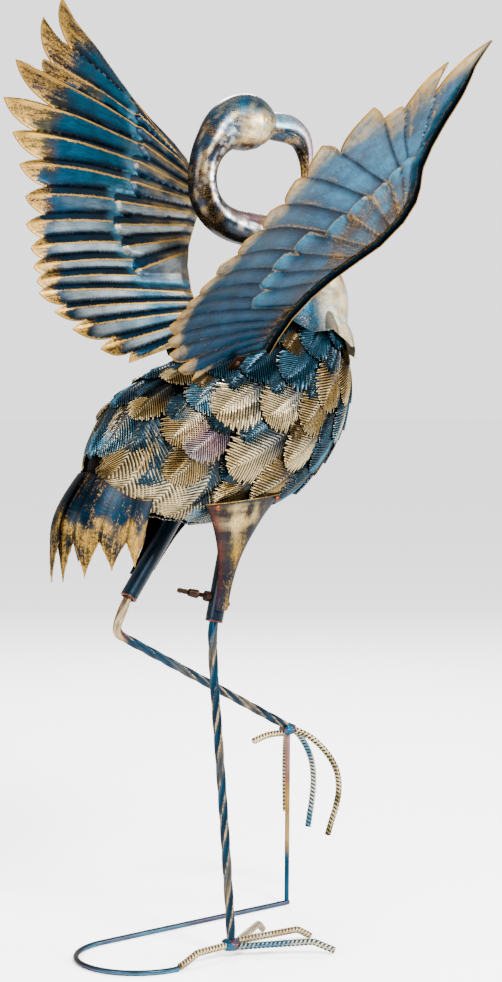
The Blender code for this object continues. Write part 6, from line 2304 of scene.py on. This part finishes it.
@dataclass
class Legs:
    """Both twisted legs with their feet, the base loop and the rod that carries the raised foot."""

    leg_radius: float = 5.2
    strand_depth: float = 1.15
    strands: int = 4
    pitch: float = 125.0
    toe_radius: float = 3.9
    toe_ribs: float = 4.6
    loop_radius: float = 3.2
    support_radius: float = 2.8
    weld: Place = (11.2, 11.2, 7.8)
    standing_foot: Place = (-58.0, 0.0, 12.5)
    raised_foot: Place = (75.8, -202.0, 207.5)
    standing_leg: tuple[Place, ...] = (
        (-56.5, 0.5, 48.0), (-50.0, 2.0, 135.0), (-43.2, 4.4, 226.0), (-39.3, 7.0, 290.0),
        (-38.0, 8.4, 332.0),
    )
    right_tube: tuple[Place, ...] = ((-38.0, 7.0, 359.0), (-38.0, -22.0, 480.0))
    left_tube: tuple[Place, ...] = ((45.0, 59.0, 382.0), (43.0, -13.0, 480.0))
    knee: Place = (46.0, 77.0, 346.0)
    insertion: float = 58.0
    # Name, turn from straight ahead, reach of the bend, reach of the tip and rise at the weld
    standing_toes: tuple[tuple[str, float, float, float, float], ...] = (
        ("standing_toe_outer", 37.0, 89.0, 112.0, -3.0), ("standing_toe_middle", 3.0, 92.0, 110.0, 3.2),
        ("standing_toe_inner", -29.0, 87.0, 101.0, -3.0),
    )
    # Name, turn from straight ahead, reach and drop
    raised_toes: tuple[tuple[str, float, float, float], ...] = (
        ("raised_toe_outer", 45.0, 60.5, 126.0), ("raised_toe_middle", 3.0, 39.5, 121.0),
        ("raised_toe_inner", -52.0, 48.0, 106.0),
    )
    standing_back: tuple[Place, ...] = ((-61.0, 49.0, 12.5), (-65.0, 68.0, 6.6), (-67.5, 78.3, 4.6))
    raised_back: tuple[Span, ...] = ((32.0, 0.0), (54.0, 5.0))
    bend_radii: Place = (13.0, 16.0, 9.6)
    toe_heights: Span = (14.0, 4.1)
    rib_depth: float = 0.55
    loop_front: float = -196.0
    loop_run: float = 260.0
    # Shares of a hanging toe's reach and drop
    hanging: tuple[Span, ...] = (
        (0.44, 0.075), (0.75, 0.215), (0.94, 0.37), (1.0, 0.54), (0.95, 0.715), (0.85, 0.88), (0.78, 1.0),
    )

    def build(self) -> list[Piece]:
        """Make everything below the tubes and return it."""
        made = self.build_legs() + self.build_standing_toes() + self.build_raised_toes()
        made += [self.build_weld("standing_foot_weld", self.standing_foot, 7),
                 self.build_weld("raised_foot_weld", self.raised_foot, 9)]
        return made + self.build_base()

    def twisted(self, name: str, path: list[Vector], seed: int, warm: float = 0.0) -> Piece:
        """Make a leg of twisted strands along a path.

        Args:
            name: the leg's node.
            path: where it runs.
            seed: which patches.
            warm: millimetres from its start over which it is copper and cream.

        Returns:
            The new piece.
        """
        depth, count, pitch = self.strand_depth * MM, self.strands, self.pitch * MM

        def reach(run: Array, turn: Array) -> Array:
            """Return the section's reach: rounded strands that wind round the leg.

            Args:
                run: metres from the start.
                turn: angle round the section.

            Returns:
                Metres for each place.
            """
            phase = count * (turn - 2 * math.pi * run / pitch) / 2
            return self.leg_radius * MM - depth * (1 - np.abs(np.cos(phase)))**1.0

        def paint(run: Array, turn: Array, low: Array) -> Layers:
            """Return the paint: teal, with pale crests and dark seams between the strands.

            Args:
                run: metres from the start.
                turn: angle round the section.
                low: how far below the full radius, as a share of it.

            Returns:
                Tint and wear for each place.
            """
            places = np.stack([run / MM, turn * 5.0], axis=1)
            patches = waves(places, 60.0, seed)
            crest = 1 - np.clip(low * self.leg_radius * MM / depth, 0, 1)
            tint = mix(coat(Paint.TEAL, len(run)), Paint.DEEP_TEAL, 0.45 + 0.4 * patches)
            which = np.cos((turn - 2 * math.pi * run / pitch) + 0.6)
            tint = mix(tint, Paint.BEIGE, ramp(which, 0.45, 0.95) * (0.15 + 0.4 * np.clip(patches, 0, 1)))
            near = 1 - ramp(run / MM, warm * 0.85, warm + 0.1)
            tint = mix(tint, Paint.COPPER, near * 0.6 * (warm > 0))
            tint = mix(tint, Paint.CREAM, near * (warm > 0) * 0.6 * ramp(which, -0.4, 0.8))
            tint = mix(tint, Paint.BLACK, 0.8 * (1 - ramp(crest, 0.02, 0.32)))
            return tint * 0.85, 0.26 + 0.36 * ramp(crest, 0.75, 1.0) + 0.14 * patches

        skin = Skin()
        Rod(path, self.leg_radius * MM, 48, reach, paint, end_round=0.2).lay(skin)
        return skin.piece(name, "leg", [name], 30.0)

    def build_legs(self) -> list[Piece]:
        """Make the standing leg and the bent raised leg.

        Returns:
            The two legs.
        """
        tube_end = at(*self.right_tube[0])
        axis = (at(*self.right_tube[1]) - tube_end).normalized()
        foot_top = at(*self.standing_foot) + Vector((0, 0, self.weld[2] - 2.0)) * MM
        knots = [foot_top] + [at(*place) for place in self.standing_leg]
        path = smooth_path(knots + [tube_end, tube_end + axis * self.insertion * MM], PLAIN_STEP)
        standing = self.twisted("standing_leg", path, 81)
        tube_end = at(*self.left_tube[0])
        axis = (at(*self.left_tube[1]) - tube_end).normalized()
        ankle = at(*self.raised_foot) + Vector((0, 0, 2.8)) * MM
        knee = at(*self.knee)
        corners = [tube_end + axis * self.insertion * MM, tube_end - axis * 4 * MM, knee,
                   ankle + (knee - ankle).normalized() * self.weld[0] * 0.6 * MM]
        path = corners[:1] + bent_path(corners[1:], self.bend_radii[0] * MM, PLAIN_STEP)
        return [standing, self.twisted("raised_leg", path, 83, 118.0)]

    def ribbed(self, name: str, path: list[Vector], style: tuple[Paint, Paint], seed: int) -> Piece:
        """Make a toe of ribbed rod along a path.

        Args:
            name: the toe's node.
            path: where it runs.
            style: paints of its ribs and of its pale touches.
            seed: which patches.

        Returns:
            The new piece.
        """
        radius, pitch, depth = self.toe_radius * MM, self.toe_ribs * MM, self.rib_depth * MM

        def phase(run: Array, turn: Array) -> Array:
            """Return how far through its rib each place is: slanting ribs, mirrored on each side."""
            return run / pitch + np.abs(((turn + math.pi / 2) % (2 * math.pi)) - math.pi) / math.pi * 1.1

        def reach(run: Array, turn: Array) -> Array:
            """Return the section's reach.

            Args:
                run: metres from the start.
                turn: angle round the section.

            Returns:
                Metres for each place.
            """
            rib = np.clip(np.cos(2 * math.pi * phase(run, turn)) * 1.6, -1, 1)
            spine = hump(np.abs(np.cos(turn)), 1.0, 0.02)
            return radius - depth * (0.5 - 0.5 * rib) * (1 - spine)

        def paint(run: Array, turn: Array, low: Array) -> Layers:
            """Return the paint: bright ribs over dark valleys.

            Args:
                run: metres from the start.
                turn: angle round the section.
                low: how far below the full radius, as a share of it.

            Returns:
                Tint and wear for each place.
            """
            crest = 1 - np.clip(low * radius / depth, 0, 1)
            patches = waves(np.stack([run / MM, turn * 3.0], axis=1), 45.0, seed)
            tint = mix(coat(Paint.NAVY, len(run)), style[0], ramp(crest, 0.1, 0.6) * 0.9)
            tint = mix(tint, style[1], ramp(crest, 0.5, 1.0) * (0.4 + 0.5 * patches))
            return tint, 0.26 + 0.42 * ramp(crest, 0.55, 1.0) + 0.12 * patches

        skin = Skin()
        Rod(path, radius, 28, reach, paint, end_round=0.14).lay(skin)
        return skin.piece(name, "toe", [name], 45.0)

    @staticmethod
    def toe_direction(degrees: float) -> Vector:
        """Return the level direction of a toe, turned from straight ahead to the bird's right."""
        angle = math.radians(degrees)
        return Vector((-math.sin(angle), -math.cos(angle), 0))

    def build_standing_toes(self) -> list[Piece]:
        """Make the standing foot's three front toes and its back toe.

        Returns:
            The four toes.
        """
        centre = at(*self.standing_foot)
        made = []
        for k, (name, turn, bend, tip, rise) in enumerate(self.standing_toes):
            out = self.toe_direction(turn)
            start = centre + out * self.weld[0] * 0.7 * MM
            start.z = centre.z + rise * MM * 0.8
            corner = centre + out * bend * MM
            corner.z = self.toe_heights[0] * MM
            end = centre + out * tip * MM
            end.z = self.toe_heights[1] * MM
            style = (Paint.BEIGE, Paint.SILVER) if k else (Paint.STEEL_BLUE, Paint.CREAM)
            path = bent_path([start, corner, end], self.bend_radii[1] * MM, RIBBED_STEP)
            made.append(self.ribbed(name, path, style, 91 + k))
        out = self.toe_direction(180.0)
        corners = [centre + out * self.weld[0] * 0.7 * MM]
        corners += [at(*place) for place in self.standing_back]
        path = bent_path(corners, self.bend_radii[2] * MM, RIBBED_STEP)
        return made + [self.ribbed("standing_toe_back", path, (Paint.BEIGE, Paint.CREAM), 95)]

    def build_raised_toes(self) -> list[Piece]:
        """Make the raised foot's hanging toes and its back toe.

        Returns:
            The four toes.
        """
        centre = at(*self.raised_foot)
        styles = ((Paint.OLIVE, Paint.CREAM), (Paint.STEEL_BLUE, Paint.SILVER),
                  (Paint.BEIGE, Paint.STEEL_BLUE))
        made = []
        for k, ((name, turn, reach, drop), style) in enumerate(zip(self.raised_toes, styles)):
            out = self.toe_direction(turn)
            inside = self.weld[0] * 0.55
            knots = [centre + out * inside * MM]
            for out_share, drop_share in self.hanging:
                level = max(reach * out_share, self.weld[0] * 0.75 + self.toe_radius * 2)
                knots.append(centre + out * level * MM - Vector((0, 0, drop * drop_share * MM)))
            path = smooth_path(knots, RIBBED_STEP)
            made.append(self.ribbed(name, path, style, 97 + k))
        out = self.toe_direction(180.0)
        low = centre - Vector((0, 0, self.toe_radius * MM))
        path = [low + out * self.weld[0] * 0.55 * MM]
        path += [low + out * reach * MM - Vector((0, 0, drop * MM)) for reach, drop in self.raised_back]
        path = smooth_path(path, RIBBED_STEP)
        return made + [self.ribbed("raised_toe_back", path, (Paint.BEIGE, Paint.CREAM), 101)]

    def build_weld(self, name: str, place: Place, seed: int) -> Piece:
        """Make the lumpy run of weld that joins a foot.

        Args:
            name: the weld's node.
            place: its middle, in millimetres.
            seed: which lumps.

        Returns:
            The new piece.
        """
        rows, sides = 32, 48
        rise = np.linspace(-np.pi / 2, np.pi / 2, rows)
        turn = turns(sides)
        level = np.cos(rise)[:, None]
        unit = np.stack([level * np.cos(turn)[None, :], level * np.sin(turn)[None, :],
                         np.repeat(np.sin(rise)[:, None], sides, axis=1)], axis=2).reshape(-1, 3)
        lumps = 0.94 + 0.07 * waves(unit * 10, 7.0, seed)
        beads = 0.03 * np.abs(np.sin(5 * np.arctan2(unit[:, 1], unit[:, 0]) + 6 * unit[:, 2]))
        points = np.array(place) + unit * (lumps - beads)[:, None] * np.array(self.weld)
        count = len(points)
        tint = mix(coat(Paint.TEAL, count), Paint.TURQUOISE, 0.5 + 0.5 * waves(points, 9.0, seed))
        tint = mix(tint, Paint.COPPER, np.clip(waves(points, 14.0, seed + 1), 0, 1) * 0.6)
        skin = Skin()
        skin.add(framed(points), ring_faces(rows, sides), tint, 0.42, points[:, 1:] * MM)
        return skin.piece(name, "weld", [name], 60.0)

    def build_base(self) -> list[Piece]:
        """Make the wire loop on the floor and the rod that carries the raised foot.

        Returns:
            The loop and the rod.
        """
        half, bend, front = LOOP_HALF_WIDTH, LOOP_BEND_Y, self.loop_front
        height = self.loop_radius * math.cos(math.pi / 8)
        path = [at(half, front + self.loop_run * k / 50, height) for k in range(51)]
        path += [at(half, bend - 8, height)]
        path += [at(math.cos(math.pi * k / 72) * half, bend + math.sin(math.pi * k / 72) * half, height)
                 for k in range(73)]

        def wire_paint(run: Array, turn: Array, low: Array) -> Layers:
            """Return the loop's paint: steel blue above and plum below.

            Args:
                run: metres from the start.
                turn: angle round the section.
                low: not used, the wire is plain.

            Returns:
                Tint and wear for each place.
            """
            patches = waves(np.stack([run / MM, turn], axis=1), 90.0, 111)
            tint = mix(coat(Paint.STEEL_BLUE, len(run)), Paint.VIOLET, 0.5 + 0.5 * patches)
            tint = mix(tint, Paint.PLUM, ramp(-np.sin(turn), -0.2, 0.7) * 0.8)
            return tint, 0.40 + 0.15 * patches

        def rod_paint(run: Array, turn: Array, low: Array) -> Layers:
            """Return the rod's paint: teal at its foot, then gold, and copper below the foot.

            Args:
                run: metres from the start.
                turn: angle round the section.
                low: not used, the rod is plain.

            Returns:
                Tint and wear for each place.
            """
            share = run / max(float(run.max()), 1e-6)
            patches = waves(np.stack([run / MM, turn * 2], axis=1), 40.0, 113)
            tint = mix(coat(Paint.TEAL, len(run)), Paint.GOLD, ramp(share + 0.1 * patches, 0.18, 0.45))
            tint = mix(tint, Paint.COPPER, ramp(share + 0.1 * patches, 0.55, 0.8) * 0.85)
            tint = mix(tint, Paint.PINK, ramp(share, 0.6, 0.95) * 0.35)
            return tint, 0.42 + 0.16 * patches

        radius = self.loop_radius * 0.92

        def loop_reach(run: Array, turn: Array) -> Array:
            """Return the wire's reach, with a rib of weld near its end.

            Args:
                run: metres from the start.
                turn: not used, the weld runs all round.

            Returns:
                Metres for each place.
            """
            last = float(run.max())
            weld = hump(run, last, 4.0 * MM) * 0.3 * MM
            return np.full(run.shape, radius * MM) + weld * np.abs(np.sin(run / (1.1 * MM)))

        loop = Skin()
        Rod(path, radius * MM, 28, loop_reach, wire_paint, end_round=0.3).lay(loop)
        low = at(half, front + self.support_radius * 1.2, height)
        high = at(*self.raised_foot) - Vector((0, 0, self.weld[2] - 2.0)) * MM
        support = Skin()
        route = [low.lerp(high, k / 90) for k in range(91)]
        Rod(route, self.support_radius * MM, 24, None, rod_paint, end_round=0.2).lay(support)
        return [loop.piece("base_loop", "wire", ["base_loop"], 40.0),
                support.piece("support_rod", "wire", ["support_rod"], 40.0)]


@dataclass
class WingStrap:
    """The flat strap with a bolt that carries a wing."""

    name: str
    bevel: float = 0.45

    def build(self) -> Piece:
        """Make the strap on its node's own place and return it.

        Returns:
            The new piece.
        """
        points = np.array([tuple(vert.co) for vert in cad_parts[self.name].data.vertices])
        middle = (points.max(axis=0) + points.min(axis=0)) / 2
        corners = np.unique(np.round(points, 6), axis=0)
        centre = corners.mean(axis=0) if len(corners) == 8 else middle
        _, _, axes = np.linalg.svd(corners - centre)
        reach = np.abs((corners - centre) @ axes.T).max(axis=0)
        skin = Skin()
        rings = []
        edge = self.bevel * MM
        sides = 40
        turn = turns(sides)
        outline = np.stack([eased_square(np.cos(turn), 0.22), eased_square(np.sin(turn), 0.22)], axis=1)
        for depth, inset in ((-1.0, edge), (-0.5, 0.0), (0.5, 0.0), (1.0, edge)):
            flat = outline * (reach[:2] - inset)
            rings.append(centre + flat @ axes[:2] + axes[2] * reach[2] * depth)
        points = with_hubs(rings)
        count = len(points)
        tint = mix(coat(Paint.NAVY, count), Paint.BRONZE, 0.3 + 0.4 * waves(points / MM, 12.0, 121))
        skin.add(points, capped_faces(len(rings), sides), tint, 0.36, points[:, 1:])
        strap = skin.piece(self.name, "screw", [self.name], 40.0)
        self.build_bolt(centre, axes, reach, "left" in self.name)
        return strap

    def build_bolt(self, centre: Array, axes: Array, reach: Array, left: bool) -> None:
        """Add the domed bolt on the side that shows.

        Args:
            centre: middle of the strap, in metres.
            axes: the strap's own directions, the thinnest last.
            reach: half of its size along each.
            left: whether it is on the bird's left.
        """
        outward = axes[2]
        body = np.array(SHIFT) + np.array((0.0, 0.0, centre[2]))
        if (centre - body) @ outward < 0:
            outward = -outward
        profile = [(3.6, 0.0), (3.6, 0.9), (3.1, 1.8), (2.1, 2.4), (0.8, 2.7)]
        rings = []
        sides = 24
        turn = turns(sides)
        for radius, run in profile:
            around = np.outer(np.cos(turn), axes[0]) + np.outer(np.sin(turn), axes[1])
            rings.append(centre + outward * (reach[2] + (run - 0.3) * MM) + around * radius * MM)
        points = with_hubs(rings)
        faces = capped_faces(len(rings), sides)
        skin = Skin()
        skin.add(points, faces, coat(Paint.BRONZE, len(points)), 0.5, points[:, 1:])
        skin.piece("wing_bolt_" + ("left" if left else "right"), "screw", [], 40.0)


@dataclass
class Studio:
    """A plain pale floor, soft lights and the camera at the photograph's angle."""

    camera_place: Place = (-1.6803, 1.3733, 0.5909)
    pitch: float = math.radians(2.4501)
    heading: float = math.radians(40.83)
    lens: float = 2000 / 982 * 36
    world: float = 2.0

    def turned(self, x: float, y: float, z: float) -> Vector:
        """Return a direction of the camera's level frame in the pose."""
        sine, cosine = math.sin(self.heading), math.cos(self.heading)
        return Vector((-x * sine + y * cosine, -(x * cosine + y * sine), z))

    def build(self) -> None:
        """Set up the floor, the lights and the camera."""
        self.add_camera()
        self.add_world()
        self.add_floor()
        self.add_light("Key light", (-2.1, 0.2, 2.2), 0.7, 300.0)
        self.add_light("Fill light", (-0.5, 2.5, 1.6), 1.2, 130.0)
        self.add_light("Rim light", (1.7, -1.4, 2.1), 0.8, 150.0)
        self.add_light("Side light", (-1.7, -1.7, 1.2), 0.7, 130.0)

    def add_camera(self) -> None:
        """Add the camera."""
        data = bpy.data.cameras.new("Camera")
        data.lens = self.lens
        data.sensor_width = 36.0
        camera = linked("Camera", data)
        forward = self.turned(0.0, math.cos(self.pitch), -math.sin(self.pitch))
        up = self.turned(0.0, math.sin(self.pitch), math.cos(self.pitch))
        right = self.turned(1.0, 0.0, 0.0)
        turn = Matrix((right, up, -forward)).transposed().to_4x4()
        camera.matrix_world = Matrix.Translation(Vector(self.camera_place) + SHIFT) @ turn
        bpy.context.scene.camera = camera

    def add_world(self) -> None:
        """Light the scene evenly with white."""
        world = bpy.data.worlds.new("Studio")
        world.use_nodes = True
        background = world.node_tree.nodes["Background"]
        background.inputs["Color"].default_value = (1.0, 1.0, 1.0, 1.0)
        background.inputs["Strength"].default_value = self.world
        bpy.context.scene.world = world

    def add_floor(self) -> None:
        """Add the pale floor that the bird stands on."""
        mesh = bpy.data.meshes.new("floor")
        mesh.from_pydata([(-60, -60, 0), (60, -60, 0), (60, 60, 0), (-60, 60, 0)], [], [(0, 1, 2, 3)])
        floor = linked("floor", mesh)
        graph = Graph("Pale floor")
        grain = graph.noise(graph.place(), 30.0, 2.0, 0.5)
        pale = graph.mix("MIX", grain, (0.93, 0.93, 0.93), (0.96, 0.96, 0.96))
        graph.join(pale, graph.inputs["Base Color"])
        graph.join(0.9, graph.inputs["Roughness"])
        mesh.materials.append(graph.material)

    def add_light(self, name: str, place: Place, size: float, power: float) -> None:
        """Add a soft square light aimed at the middle of the bird.

        Args:
            name: the light.
            place: where it stands, in metres.
            size: length of its side.
            power: watts.
        """
        data = bpy.data.lights.new(name, "AREA")
        data.size = size
        data.energy = power
        light = linked(name, data)
        light.location = Vector(place) + SHIFT
        aim = Vector((0.0, 0.0, 0.6)) + SHIFT - light.location
        light.rotation_euler = aim.to_track_quat("-Z", "Y").to_euler()


def main() -> None:
    """Build the studio and the whole bird."""
    logging.basicConfig(level=logging.INFO, format="%(message)s")
    Studio().build()
    body = Body()
    body.build()
    LeafCoat(body).build()
    NeckAndHead().build()
    Bill().build()
    Tail().build()
    legs = Legs()
    Thigh("right", -1, *legs.right_tube, 377.0, (0.25, 1.0, 0.0), 384.0).build()
    Thigh("left", 1, *legs.left_tube, 411.0, (0.756, -0.653, 0.0), 393.0).build()
    legs.build()
    WingStrap("wing_bracket_right").build()
    WingStrap("wing_bracket_left").build()
    pattern = WingPattern()
    Wing("wing_right", -1, pattern).build()
    Wing("wing_left", 1, pattern).build()


if __name__ == "__main__":
    main()
